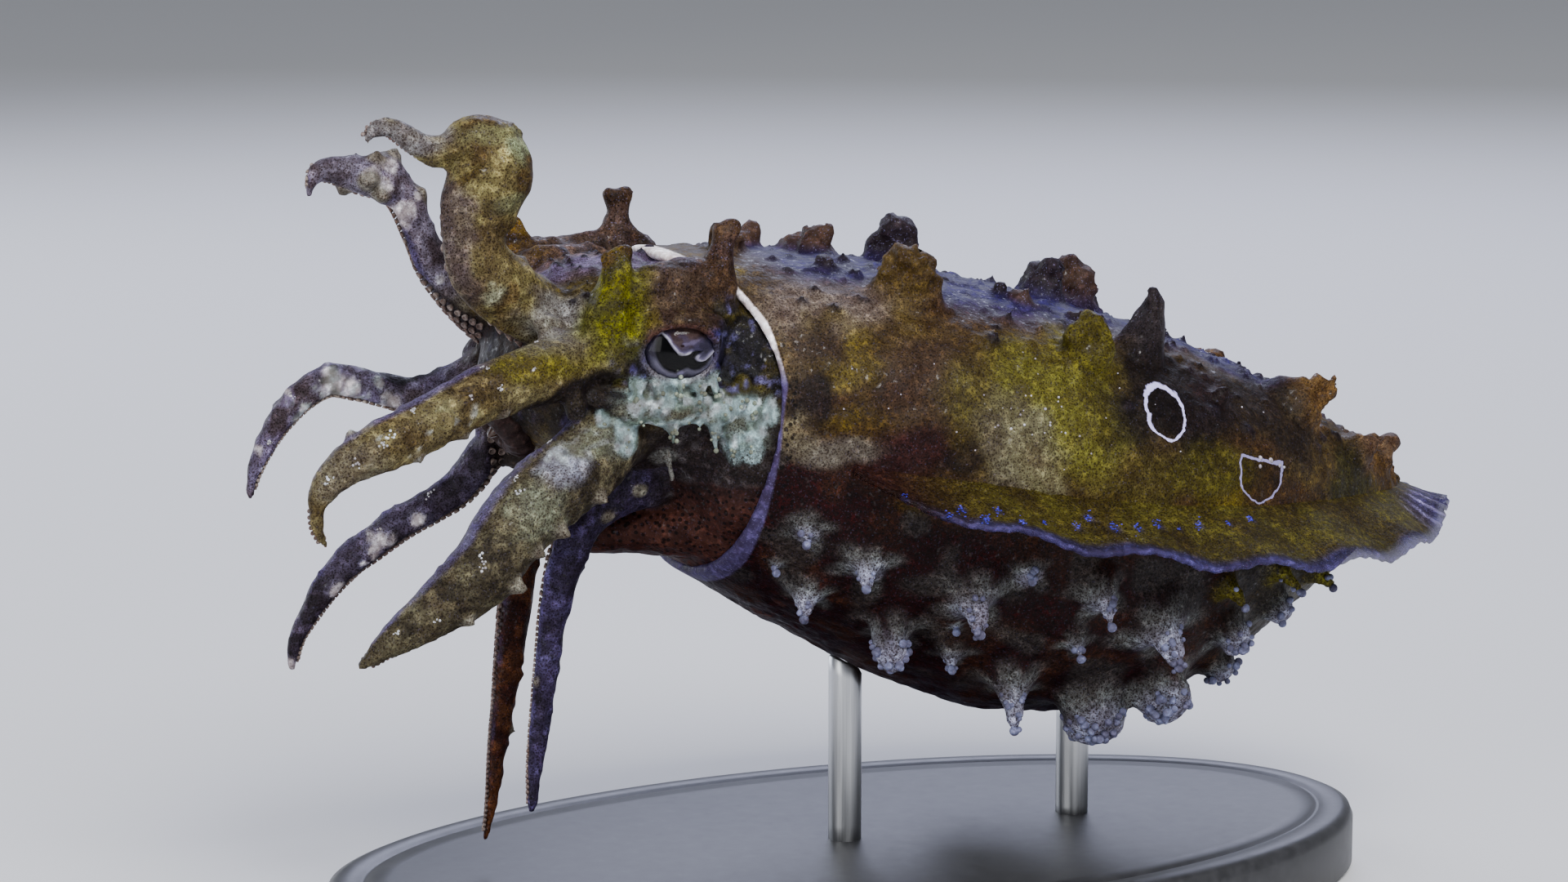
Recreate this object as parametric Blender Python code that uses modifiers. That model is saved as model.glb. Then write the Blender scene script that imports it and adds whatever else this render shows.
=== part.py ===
"""A life-size dwarf cuttlefish that swims with its arms spread, held over a plain base by two short rods.

The head points along -X and the back along +Z. All sizes are in millimetres and become metres when a
mesh is made. The origin is the centre of the underside of the base.
"""

import math
import random

import bmesh
import bpy
from mathutils import Matrix, Vector

MM = 0.001
GAP = 0.3
SUNK = 0.45
FLAT = 2.0

# The mantle: x, half width, height of the back, of the fin line and of the belly.
MANTLE_STATIONS = (
    (-13.0, 14.2, 52.4, 40.0, 27.6),
    (-6.0, 16.6, 51.6, 36.9, 22.4),
    (2.0, 18.3, 50.2, 35.2, 17.7),
    (11.0, 19.0, 48.1, 33.5, 14.6),
    (20.0, 18.2, 45.4, 32.1, 14.1),
    (28.0, 15.8, 42.5, 31.2, 16.6),
    (35.0, 12.4, 39.0, 30.5, 20.6),
    (41.0, 8.4, 35.4, 29.9, 23.9),
    (45.5, 4.8, 32.2, 29.5, 26.5),
    (48.0, 1.8, 30.2, 29.3, 28.2),
)
MANTLE_FRONT = -13.0
MANTLE_TAIL = 48.0
MANTLE_RINGS = 24
MANTLE_SIDES = 28
BACK_SQUARENESS = 2.4
BELLY_SQUARENESS = 2.1
NUCHAL_REACH = 3.9
RIM_POINT = 5
VENTRAL_REACH = 1.4
RIM_FADE = 15.0
LIP_ROUND = 0.35
LIP_SHARE = 0.95
RECESS_FLOOR = -10.0

# The larger papillae of the back, both sides of it: x, degrees up from the left fin line, radius and height.
BACK_PAPILLAE = (
    (-6.5, 98, 1.6, 1.5),
    (-1.5, 97, 2.0, 1.5),
    (4.5, 97, 2.0, 2.9),
    (-0.5, 62, 2.5, 2.9),
    (6.0, 62, 1.1, 1.1),
    (14.0, 86, 1.2, 2.7),
    (18.0, 92, 2.4, 2.9),
    (19.5, 58, 2.3, 4.9),
    (12.0, 46, 2.0, 2.6),
    (23.5, 41, 1.0, 1.3),
    (31.5, 62, 1.7, 2.9),
    (38.0, 50, 1.4, 1.9),
    (1.0, 124, 1.9, 2.2),
    (10.5, 130, 1.7, 2.0),
    (24.5, 124, 1.9, 2.7),
    (33.0, 122, 1.3, 1.9),
)

# The papillae of the lower sides, alike on both: x, degrees down from the fin line, radius and height.
SIDE_PAPILLAE = (
    (-10.0, 24, 1.1, 1.4),
    (-6.0, 26, 1.6, 2.0),
    (-8.5, 47, 1.2, 1.9),
    (-2.5, 46, 1.7, 2.7),
    (1.5, 25, 2.1, 2.9),
    (1.8, 45, 1.0, 1.3),
    (6.8, 50, 1.9, 3.2),
    (11.5, 19, 1.5, 2.5),
    (10.5, 33, 1.0, 1.2),
    (17.0, 25, 2.2, 3.4),
    (14.5, 56, 2.5, 2.9),
    (19.0, 46, 2.4, 3.0),
    (22.5, 17, 1.3, 2.1),
    (28.0, 16, 1.3, 2.3),
    (24.5, 32, 1.7, 1.8),
    (29.5, 32, 1.3, 1.3),
    (26.0, 52, 1.6, 1.4),
    (34.0, 26, 1.1, 1.1),
)
TAIL_PAPILLAE = 28.0
PAPILLA_SIDES = 5
BACK_LEVELS = ((1.0, -1.0), (0.72, 0.55), (0.46, 1.0))
SIDE_LEVELS = ((1.0, -1.0), (0.6, 0.5), (0.3, 1.0))
SMALL_LEVELS = ((1.0, -1.0), (0.5, 1.0))
SMALL_PAPILLAE = 16
SMALL_SEED = 7

# The head core: x, half width, height of the crown, of the middle and of the throat.
HEAD_STATIONS = (
    (-10.4, 10.8, 50.0, 43.0, 35.4),
    (-14.0, 11.2, 50.5, 43.4, 35.2),
    (-18.7, 11.7, 51.0, 44.0, 35.2),
    (-22.5, 11.2, 51.2, 44.0, 35.6),
    (-26.0, 8.8, 50.0, 43.8, 37.4),
    (-28.8, 5.4, 47.4, 43.2, 39.6),
    (-30.2, 2.6, 45.2, 42.8, 41.2),
)
HEAD_BACK = -10.4
HEAD_FRONT = -30.2
HEAD_RINGS = 11
HEAD_SIDES = 20
HEAD_SQUARENESS = 2.2

# The eyes, the bulge of the head round each, and the lids.
EYE_CENTRE = (-19.1, 8.75, 46.3)
EYE_RADIUS = 4.0
ORBIT_CENTRE = (-19.6, 7.7, 46.4)
ORBIT_RADII = (5.4, 5.0, 5.8)
LID_RADII = (2.9, 2.3)
LID_THICKNESS = 0.55
LID_TURN = 12.0
LID_OUT = 3.75
LID_STEPS = 14
LID_SIDES = 5

# The papillae over each eye: degrees round it from the front by way of the top, degrees out, radius, height.
BROW_PAPILLAE = (
    (44, 26, 2.2, 3.3),
    (128, 22, 1.25, 3.7),
    (82, 30, 1.0, 1.3),
    (16, 40, 0.9, 1.2),
)

# The pale papillae under each eye, and those of the crown: x, degrees up from the side, radius and height.
CHEEK_PAPILLAE = (
    (-24.2, -12, 1.2, 1.7),
    (-21.6, -30, 1.3, 2.1),
    (-18.6, -36, 1.4, 2.4),
    (-15.6, -34, 1.3, 2.1),
    (-14.2, -16, 1.1, 1.6),
    (-18.0, -58, 0.9, 1.5),
    (-25.2, 62, 0.9, 1.1),
    (-22.0, 76, 0.8, 0.8),
)

# The funnel under the head.
FUNNEL_FRONT = -23.2
FUNNEL_STATIONS = (
    (-10.4, 6.4, 32.2, 2.8),
    (-15.0, 5.6, 32.2, 2.7),
    (-19.0, 4.6, 32.0, 2.5),
    (-23.2, 3.0, 31.6, 2.0),
)
FUNNEL_SIDES = 14
FUNNEL_WALL = 0.7
FUNNEL_DEPTH = 2.5

# The ring of arms faces forwards and down from here, with the mouth in its middle.
CROWN_CENTRE = Vector((-25.0, 0.0, 43.3))
CROWN_AXIS = Vector((-0.78, 0.0, -0.63)).normalized()
MOUTH_SEAT = 4.4
MOUTH_RADIUS = 3.4
MOUTH_PROFILE = ((2.9, 0.0), (3.1, 0.6), (2.5, 1.5), (1.3, 1.7), (0.9, 1.1), (0.5, 2.3))
ARM_SIDES = 8
ARM_STEP = 1.5
ARM_FLATNESS = 0.82
ORAL_SHARE = 0.72
BEND_LIMIT = 0.85
SUCKER_SIDES = 6
SUCKER_SHARE = 0.27
SUCKER_LEAST = 0.32
SUCKER_SPACING = 2.3

# Each arm: the places it passes through, its half widths from root to tip, and where its lengths part.
ARMS = {
    "arm_1_left": (
        ((-25, -2, 45.5), (-28, -3.5, 48.2), (-31, -5, 50.8), (-32.9, -5.5, 52.8), (-33.3, -5.5, 54.6),
         (-33, -5.5, 56.2), (-32.3, -5.5, 57.9), (-31.7, -5.5, 59.4), (-32, -5.5, 60.9), (-33.4, -5.5, 61.6),
         (-35.3, -5.5, 60.9), (-37.3, -5.5, 61.6), (-39.4, -5.5, 62.9), (-40.9, -5.5, 62.6),
         (-41.1, -5.5, 61.7)),
        (2.6, 2.7, 2.6, 2.4, 2.3, 2.7, 3.0, 3.2, 2.7, 1.8, 1.25, 1.0, 0.75, 0.45, 0.22),
        (9.6, 16.2, 24.6),
    ),
    "arm_1_right": (
        ((-26.5, 2, 45), (-29, 3.5, 46.8), (-31, 4.5, 48.6), (-32.5, 5.5, 50.8), (-33.5, 6, 53.5),
         (-34.5, 6.5, 56), (-35.7, 7, 57.5), (-37.5, 7, 58), (-39.5, 7, 58.5), (-41, 7, 58.4),
         (-41.5, 7, 56.8)),
        (2.0, 1.9, 1.75, 1.6, 1.5, 1.5, 1.6, 1.5, 1.1, 0.7, 0.3),
        (7.6, 14.0, 20.0),
    ),
    "arm_2_left": (
        ((-21.5, -4.5, 45), (-25.5, -8, 45.5), (-30, -10, 45.1), (-34.5, -11.5, 44.3), (-38, -12.5, 43.2),
         (-41, -13, 42), (-43.5, -13.5, 41.2), (-45.7, -13.5, 40.2), (-47.2, -13.5, 38.8),
         (-47.8, -13, 37.3), (-47.8, -13, 35.8), (-47, -12.5, 34.3)),
        (2.5, 2.4, 2.25, 2.0, 1.9, 1.9, 1.75, 1.4, 1.0, 0.65, 0.5, 0.28),
        (9.4, 18.5, 27.0),
    ),
    "arm_2_right": (
        ((-24, 4.5, 45), (-27, 7.8, 42.8), (-29.5, 9.3, 41.3), (-32, 10.3, 40.5), (-34, 11, 40.8),
         (-36.5, 11.5, 41.5), (-38.5, 12, 41.8), (-40.5, 12, 41), (-42.2, 12, 39.4), (-43.6, 12, 37.5),
         (-44.7, 12, 35.2), (-45, 12, 33.6)),
        (2.1, 2.0, 1.8, 1.6, 1.55, 1.5, 1.45, 1.35, 1.15, 0.9, 0.6, 0.3),
        (7.6, 15.0, 22.0),
    ),
    "arm_3_left": (
        ((-19, -4.5, 41), (-23.5, -8.5, 40), (-27.5, -10.5, 38), (-31, -11.5, 36), (-33.2, -12, 34),
         (-35.5, -12.5, 31.5), (-38, -12.5, 29.6), (-40.6, -12.5, 28), (-42.9, -12.5, 26.6),
         (-44.6, -12.5, 25.4)),
        (2.7, 2.8, 2.85, 2.75, 2.6, 2.45, 2.0, 1.5, 0.95, 0.4),
        (10.0, 18.5, 26.0),
    ),
    "arm_3_right": (
        ((-23, 4.5, 41), (-25, 7.8, 38.2), (-27, 9.3, 35.6), (-29, 10, 33.2), (-30.8, 10.5, 32),
         (-33, 11, 30.8), (-35.2, 11.5, 29.3), (-37.2, 12, 27.8), (-39, 12, 26), (-40.3, 12, 24.3),
         (-41.5, 12, 22.3), (-42, 12, 20)),
        (2.2, 2.0, 1.8, 1.6, 1.55, 1.5, 1.5, 1.4, 1.2, 1.0, 0.7, 0.35),
        (8.2, 16.0, 23.0),
    ),
    "arm_4_left": (
        ((-15, -3, 37.2), (-19, -5, 35.8), (-22, -5.5, 35.2), (-24.6, -5.5, 33.7), (-26.1, -5.5, 31.2),
         (-27.1, -5.2, 27.2), (-27.6, -5, 23.5), (-28.1, -5, 19.5), (-28.6, -5, 15.5), (-29, -5, 11.5)),
        (2.0, 2.0, 1.95, 1.8, 1.6, 1.3, 1.1, 0.95, 0.75, 0.3),
        (11.0, 18.5, 25.5),
    ),
    "arm_4_right": (
        ((-16.5, 3, 37.5), (-19.5, 4.5, 35.8), (-22.5, 5, 34.6), (-24.8, 5, 32.2), (-26.2, 4.5, 29),
         (-27, 4, 25), (-27.5, 4, 21.5), (-28, 4, 17.5), (-28.5, 4, 14), (-29, 3.7, 10), (-29.6, 3.5, 7.2)),
        (2.0, 2.0, 1.95, 1.85, 1.75, 1.6, 1.35, 1.1, 0.85, 0.6, 0.3),
        (10.0, 18.0, 27.0),
    ),
}

# The fins: they leave the mantle along the fin line, hang a little and wrap round the tail.
FIN_START = -8.0
FIN_END = 0.45
FIN_STEPS = 36
FIN_ROWS = 3
FIN_WIDTHS = ((0.0, 0.9), (0.08, 4.2), (0.16, 5.6), (0.45, 5.7), (0.8, 5.0), (0.93, 3.6), (1.0, 3.1))
FIN_DROOPS = ((0.0, 0.2), (0.15, 0.3), (0.5, 0.52), (0.8, 0.62), (1.0, 0.34))
FIN_WAVE = 0.55
FIN_WAVES = 6.5
FIN_ROOT_THICKNESS = 1.5
FIN_EDGE_THICKNESS = 0.55

# The stand.
BASE_RADII = (43.0, 23.0)
BASE_HEIGHT = 5.0
BASE_SIDES = 36
BASE_BEVEL = 0.9
ROD_RADIUS = 1.3
ROD_SIDES = 12
ROD_PLACES = {"stand_rod_front": -1.0, "stand_rod_rear": 19.0}

COLOURS = {
    "mantle": (0.23, 0.15, 0.06),
    "fin": (0.30, 0.24, 0.28),
    "head": (0.26, 0.20, 0.08),
    "arm": (0.22, 0.18, 0.12),
    "funnel": (0.25, 0.11, 0.05),
    "mouth": (0.42, 0.32, 0.26),
    "eye": (0.03, 0.03, 0.05),
    "base": (0.05, 0.05, 0.055),
    "rod": (0.55, 0.56, 0.58),
}


def between(stations, x):
    """The row of a table at x, joined from row to row by a smooth curve that doesn't overshoot."""
    rows = sorted(stations)
    last = len(rows) - 2
    i = max(k for k in range(last + 1) if k == 0 or rows[k][0] <= x)
    h = rows[i + 1][0] - rows[i][0]
    t = min(1.0, max(0.0, (x - rows[i][0]) / h))
    values = []
    for column in range(1, len(rows[0])):

        def slope(k):
            return (rows[k + 1][column] - rows[k][column]) / (rows[k + 1][0] - rows[k][0])

        def tangent(k):
            if k == 0 or k == last + 1:
                return slope(min(k, last))
            before, after = slope(k - 1), slope(k)
            return 0.0 if before * after <= 0 else 2 * before * after / (before + after)

        a, b = rows[i][column], rows[i + 1][column]
        ma, mb = tangent(i) * h, tangent(i + 1) * h
        values.append(
            a * (2 * t**3 - 3 * t**2 + 1) + b * (3 * t**2 - 2 * t**3)
            + ma * (t**3 - 2 * t**2 + t) + mb * (t**3 - t**2)
        )
    return values


def signed_power(value, power):
    return math.copysign(abs(value) ** power, value)


def loft(rings):
    """A closed skin through rings of equal length, with flat ends."""
    bm = bmesh.new()
    loops = [[bm.verts.new(p) for p in ring] for ring in rings]
    for near, far in zip(loops, loops[1:]):
        for i in range(len(near)):
            j = (i + 1) % len(near)
            bm.faces.new((near[i], near[j], far[j], far[i]))
    for loop in (loops[0], loops[-1]):
        middle = bm.verts.new(sum((v.co for v in loop), Vector()) / len(loop))
        for i in range(len(loop)):
            bm.faces.new((middle, loop[i], loop[(i + 1) % len(loop)]))
    bmesh.ops.triangulate(bm, faces=bm.faces)
    bmesh.ops.recalc_face_normals(bm, faces=bm.faces)
    mesh = bpy.data.meshes.new("loft")
    bm.to_mesh(mesh)
    bm.free()
    return mesh


def material(name):
    """A plain finish that each piece of one kind shares."""
    found = bpy.data.materials.get(name)
    if found:
        return found
    made = bpy.data.materials.new(name)
    made.use_nodes = True
    shader = made.node_tree.nodes["Principled BSDF"]
    shader.inputs["Base Color"].default_value = (*COLOURS[name], 1.0)
    shader.inputs["Roughness"].default_value = 0.35
    shader.inputs["Metallic"].default_value = 1.0 if name == "rod" else 0.0
    return made


def place(name, mesh, finish):
    """Puts a mesh that was made in millimetres into the scene as one piece, in metres."""
    mesh.transform(Matrix.Scale(MM, 4))
    obj = bpy.data.objects.new(name, mesh)
    mesh.materials.clear()
    mesh.materials.append(material(finish))
    bpy.data.collections["cuttlefish"].objects.link(obj)
    return obj


def joined(core, pieces, cutters=()):
    """The core with its pieces fused on by one union and then its cutters cut out, as one closed body."""
    work = bpy.data.collections.new("work")
    bpy.context.scene.collection.children.link(work)
    body = bpy.data.objects.new("core", core)
    bpy.context.scene.collection.objects.link(body)
    for group, operation in ((pieces, "UNION"), (cutters, "DIFFERENCE")):
        if not group:
            continue
        holder = bpy.data.collections.new(operation)
        work.children.link(holder)
        for mesh in group:
            holder.objects.link(bpy.data.objects.new("piece", mesh))
        boolean = body.modifiers.new(operation, "BOOLEAN")
        boolean.operation = operation
        boolean.operand_type = "COLLECTION"
        boolean.collection = holder
        boolean.solver = "EXACT"
    graph = bpy.context.evaluated_depsgraph_get()
    fused = bpy.data.meshes.new_from_object(body.evaluated_get(graph))
    for holder in work.children:
        for obj in list(holder.objects):
            bpy.data.objects.remove(obj)
        bpy.data.collections.remove(holder)
    bpy.data.collections.remove(work)
    bpy.data.objects.remove(body)
    return largest_body(fused)


def largest_body(mesh):
    """Keeps the largest closed surface of a mesh, in triangles."""
    bm = bmesh.new()
    bm.from_mesh(mesh)
    bmesh.ops.remove_doubles(bm, verts=bm.verts, dist=0.002)
    bmesh.ops.dissolve_degenerate(bm, edges=bm.edges, dist=0.002)
    bmesh.ops.dissolve_limit(bm, angle_limit=math.radians(FLAT), verts=bm.verts, edges=bm.edges)
    bmesh.ops.triangulate(bm, faces=bm.faces)
    unseen = set(bm.verts)
    shells = []
    while unseen:
        front = [unseen.pop()]
        shell = set(front)
        while front:
            for edge in front.pop().link_edges:
                for vert in edge.verts:
                    if vert in unseen:
                        unseen.remove(vert)
                        shell.add(vert)
                        front.append(vert)
        shells.append(shell)
    keep = max(shells, key=len)
    bmesh.ops.delete(bm, geom=[v for v in bm.verts if v not in keep], context="VERTS")
    bm.to_mesh(mesh)
    bm.free()
    return mesh


def rim_shift(angle):
    """How far the mantle's front edge lies ahead of the first station, round the opening."""
    up = math.sin(angle)
    reach = NUCHAL_REACH if up > 0 else VENTRAL_REACH
    return -reach * abs(up) ** RIM_POINT


def mantle_point(x, angle, share=1.0):
    """A place on the mantle: angle 0 is the left fin line, a quarter turn the back."""
    half, back, line, belly = between(MANTLE_STATIONS, x)
    up = math.sin(angle)
    squareness = BACK_SQUARENESS if up > 0 else BELLY_SQUARENESS
    rise = back - line if up > 0 else line - belly
    y = -half * signed_power(math.cos(angle), 2 / squareness)
    z = line + rise * signed_power(up, 2 / squareness)
    middle = (back + belly) / 2
    fade = max(0.0, 1 - (x - MANTLE_FRONT) / RIM_FADE) ** 2
    return Vector((x + rim_shift(angle) * fade, y * share, middle + (z - middle) * share))


def mantle_core():
    """The mantle: a bag with a shallow collar in front, where the head goes in."""
    angles = [math.tau * i / MANTLE_SIDES for i in range(MANTLE_SIDES)]
    floor = [mantle_point(MANTLE_FRONT, a, LIP_SHARE) for a in angles]
    for p in floor:
        p.x = RECESS_FLOOR
    inner = [mantle_point(MANTLE_FRONT, a, LIP_SHARE) for a in angles]
    for p in inner:
        p.x += LIP_ROUND
    lip = [mantle_point(MANTLE_FRONT, a, (1 + LIP_SHARE) / 2) for a in angles]
    for p in lip:
        p.x -= LIP_ROUND
    rings = [floor, inner, lip]
    for i in range(MANTLE_RINGS + 1):
        t = i / MANTLE_RINGS
        eased = t + 0.06 * math.sin(math.tau * t) / math.tau * -1.0 + 0.12 * t * (1 - t)
        x = MANTLE_FRONT + (MANTLE_TAIL - MANTLE_FRONT) * eased
        rings.append([mantle_point(x, a) for a in angles])
    return loft(rings)


def mantle_way(x, angle):
    """The way out of the mantle at a place."""
    along = mantle_point(x + 0.2, angle) - mantle_point(x - 0.2, angle)
    round_it = mantle_point(x, angle + 0.02) - mantle_point(x, angle - 0.02)
    return along.cross(round_it).normalized()


def papilla(foot, facing, lean, radius, height, levels, draw):
    """A soft cone with a blunt uneven tip that leans a little, its foot sunk in the skin."""
    tip = (facing + lean).normalized()
    turn = facing.to_track_quat("Z", "Y")
    rings = []
    for share, level in levels:
        rise = level * height if level > 0 else -SUNK
        middle = foot + facing.lerp(tip, max(0.0, level)) * rise
        ring = []
        for k in range(PAPILLA_SIDES):
            a = math.tau * k / PAPILLA_SIDES
            reach = radius * share * (1.0 + draw.uniform(-0.12, 0.12))
            ring.append(middle + turn @ Vector((reach * math.cos(a), reach * math.sin(a), 0.0)))
        rings.append(ring)
    return loft(rings)


def mantle_papillae():
    draw = random.Random(SMALL_SEED)
    spots = []
    for x, up, radius, height in BACK_PAPILLAE:
        lean = Vector((-0.3, 0.0, 0.5)) if x < TAIL_PAPILLAE else Vector((1.0, 0.0, 0.1))
        spots.append((x, up, radius, height, lean, BACK_LEVELS))
    for x, down, radius, height in SIDE_PAPILLAE:
        for side in (-down, 180 + down):
            spots.append((x, side, radius, height, Vector((0.2, 0.0, -0.8)), SIDE_LEVELS))
    small = tries = 0
    while small < SMALL_PAPILLAE and tries < 4000:
        tries += 1
        x, up = draw.uniform(-9.0, 40.0), draw.uniform(20.0, 160.0)
        where = mantle_point(x, math.radians(up))
        clear = min((where - mantle_point(s[0], math.radians(s[1]))).length - s[2] for s in spots)
        if clear > 2.2:
            spots.append((x, up, draw.uniform(0.7, 0.95), draw.uniform(0.6, 1.1), Vector(), SMALL_LEVELS))
            small += 1
    pieces = []
    for x, up, radius, height, lean, levels in spots:
        foot, way = mantle_point(x, math.radians(up)), mantle_way(x, math.radians(up))
        pieces.append(papilla(foot, way, lean, radius, height, levels, draw))
    return pieces


def head_point(x, angle):
    half, crown, middle, throat = between(HEAD_STATIONS, x)
    up = math.sin(angle)
    rise = crown - middle if up > 0 else middle - throat
    power = 2 / HEAD_SQUARENESS
    return Vector((x, -half * signed_power(math.cos(angle), power), middle + rise * signed_power(up, power)))


def ellipsoid(centre, radii, segments=16, rings=10):
    bm = bmesh.new()
    bmesh.ops.create_uvsphere(bm, u_segments=segments, v_segments=rings, radius=1.0)
    bmesh.ops.scale(bm, vec=radii, verts=bm.verts)
    bmesh.ops.translate(bm, vec=centre, verts=bm.verts)
    mesh = bpy.data.meshes.new("ellipsoid")
    bm.to_mesh(mesh)
    bm.free()
    return mesh


def smooth_path(places):
    """A dense smooth curve through the places, the length run at each point, and that of each place."""
    stops = [Vector(p) for p in places]
    dense, marks = [], []
    for i in range(len(stops) - 1):
        a, b = stops[i], stops[i + 1]
        before = stops[i - 1] if i else a * 2 - b
        after = stops[i + 2] if i + 2 < len(stops) else b * 2 - a
        marks.append(len(dense))
        for k in range(16):
            t = k / 16
            dense.append(
                (a * 2 + (b - before) * t + (before * 2 - a * 5 + b * 4 - after) * t**2
                 + (a * 3 - before - b * 3 + after) * t**3) / 2
            )
    marks.append(len(dense))
    dense.append(stops[-1])
    run = [0.0]
    for a, b in zip(dense, dense[1:]):
        run.append(run[-1] + (b - a).length)
    return dense, run, [run[m] for m in marks]


def at_length(dense, run, s):
    """The point at a length along a dense path."""
    i = max(k for k in range(len(run) - 1) if k == 0 or run[k] <= s)
    t = (s - run[i]) / max(1e-9, run[i + 1] - run[i])
    return dense[i].lerp(dense[i + 1], t)


class Arm:
    """An arm as a smooth route with a width, and a side that faces the mouth, all along it."""

    def __init__(self, places, widths):
        self.dense, self.run, marks = smooth_path(places)
        self.length = self.run[-1]
        self.widths = tuple(zip(marks, widths))
        self.frames = []
        start = self.dense[0]
        to_axis = CROWN_CENTRE + CROWN_AXIS * (start - CROWN_CENTRE).dot(CROWN_AXIS) - start
        oral = to_axis.normalized() + CROWN_AXIS
        for i in range(len(self.dense)):
            tangent = self.dense[min(i + 1, len(self.dense) - 1)] - self.dense[max(i - 1, 0)]
            tangent.normalize()
            oral = (oral - tangent * oral.dot(tangent)).normalized()
            self.frames.append((tangent, oral))

    def frame(self, s):
        """Place, tangent, side facing the mouth, side across, half width, and the bend at a length."""
        i = max(k for k in range(len(self.run) - 1) if k == 0 or self.run[k] <= s)
        tangent, oral = self.frames[i]
        step = 3
        ahead = self.frames[min(i + step, len(self.frames) - 1)][0]
        behind = self.frames[max(i - step, 0)][0]
        span = self.run[min(i + step, len(self.run) - 1)] - self.run[max(i - step, 0)]
        bend = (ahead - behind) / max(span, 1e-6)
        return at_length(self.dense, self.run, s), tangent, oral, tangent.cross(oral), self.half(s), bend

    def half(self, s):
        return between(self.widths, s)[0]

    def section(self, s):
        """The outline across the arm: rounded outside, flatter where the suckers sit."""
        centre, _, oral, across, half, bend = self.frame(s)
        ring = []
        for k in range(ARM_SIDES):
            a = math.tau * k / ARM_SIDES
            side = half * math.cos(a)
            depth = half * ARM_FLATNESS * math.sin(a) * (ORAL_SHARE if math.sin(a) > 0 else 1.15)
            offset = across * side + oral * depth
            inward = offset.dot(bend)
            if inward > BEND_LIMIT:
                offset -= bend.normalized() * ((inward - BEND_LIMIT) / bend.length)
            ring.append(centre + offset)
        return ring

    def solid(self, start, end):
        """The closed length of arm between two distances from the root."""
        count = max(2, round((end - start) / ARM_STEP))
        rings = [self.section(start + (end - start) * i / count) for i in range(count + 1)]
        return loft(rings)

    def seat(self, s, sideways):
        """The place on the sucker side at a length, and the way it faces."""
        centre, _, oral, across, half, _ = self.frame(s)
        depth = half * ARM_FLATNESS * ORAL_SHARE * math.sqrt(max(0.0, 1 - sideways**2))
        facing = (oral + across * sideways * 0.5).normalized()
        return centre + across * half * sideways + oral * depth, facing


def turned(place_on, facing, profile, sides):
    """A small turned shape: radius and height pairs along the way that it faces."""
    turn = facing.to_track_quat("Z", "Y")
    rings = []
    for radius, height in profile:
        ring = []
        for k in range(sides):
            a = math.tau * k / sides
            ring.append(place_on + turn @ Vector((radius * math.cos(a), radius * math.sin(a), height)))
        rings.append(ring)
    return loft(rings)


def sucker(place_on, facing, radius):
    return turned(place_on, facing, ((radius * 0.8, -SUNK), (radius, radius * 0.8)), SUCKER_SIDES)


def arm_suckers(arm, start, end):
    """Two rows of suckers, set alternately, that get smaller and closer towards the tip."""
    pieces = []
    s = start + 0.7
    side = 1
    while True:
        radius = max(SUCKER_LEAST, arm.half(s) * SUCKER_SHARE)
        if s + radius + 0.3 > end or s > arm.length - 1.6:
            return pieces
        where, facing = arm.seat(s, side * 0.42)
        pieces.append(sucker(where, facing, radius))
        side = -side
        s += radius * SUCKER_SPACING


def fin_line():
    """Where a fin leaves the left side of the mantle, round to the tail's middle, and the level way out."""
    samples = 120
    route = []
    for i in range(samples):
        route.append(mantle_point(FIN_START + (MANTLE_TAIL - FIN_START) * i / samples, 0.0))
    corner = mantle_point(MANTLE_TAIL, 0.0)
    for i in range(9):
        route.append(Vector((corner.x, corner.y + (-FIN_END - corner.y) * i / 8, corner.z)))
    run = [0.0]
    for a, b in zip(route, route[1:]):
        run.append(run[-1] + (b - a).length)
    return route, run


def fin_mesh(side):
    """A thin wavy sheet along the mantle's side, thickened from its middle."""
    route, run = fin_line()
    bm = bmesh.new()
    bmesh.ops.create_grid(bm, x_segments=FIN_STEPS, y_segments=FIN_ROWS, size=0.5)
    weights = []
    for vert in bm.verts:
        t, w = vert.co.x + 0.5, vert.co.y + 0.5
        s = t * run[-1]
        reach = 1.6
        along = at_length(route, run, min(s + reach, run[-1])) - at_length(route, run, max(0.0, s - reach))
        out = Vector((along.y, -along.x, 0.0)).normalized()
        width, droop = between(FIN_WIDTHS, t)[0], between(FIN_DROOPS, t)[0]
        wave = FIN_WAVE * math.sin(math.tau * FIN_WAVES * t + 0.6) * w**1.5 * min(1.0, t / 0.22)
        at = at_length(route, run, s) + out * (GAP + width * w)
        vert.co = Vector((at.x, at.y * -side, at.z + wave - droop * width * w**1.3))
        weights.append(w)
    bmesh.ops.triangulate(bm, faces=bm.faces)
    mesh = bpy.data.meshes.new("fin")
    bm.to_mesh(mesh)
    bm.free()
    sheet = bpy.data.objects.new("sheet", mesh)
    bpy.context.scene.collection.objects.link(sheet)
    group = sheet.vertex_groups.new(name="thickness")
    thin = FIN_EDGE_THICKNESS / FIN_ROOT_THICKNESS
    for i, w in enumerate(weights):
        group.add([i], 1.0 + (thin - 1.0) * w**0.7, "REPLACE")
    shell = sheet.modifiers.new("thickness", "SOLIDIFY")
    shell.thickness = FIN_ROOT_THICKNESS
    shell.offset = 0.0
    shell.vertex_group = "thickness"
    graph = bpy.context.evaluated_depsgraph_get()
    solid = bpy.data.meshes.new_from_object(sheet.evaluated_get(graph))
    bpy.data.objects.remove(sheet)
    bm = bmesh.new()
    bm.from_mesh(solid)
    bmesh.ops.triangulate(bm, faces=bm.faces)
    bmesh.ops.recalc_face_normals(bm, faces=bm.faces)
    bm.to_mesh(solid)
    bm.free()
    return solid


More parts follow.
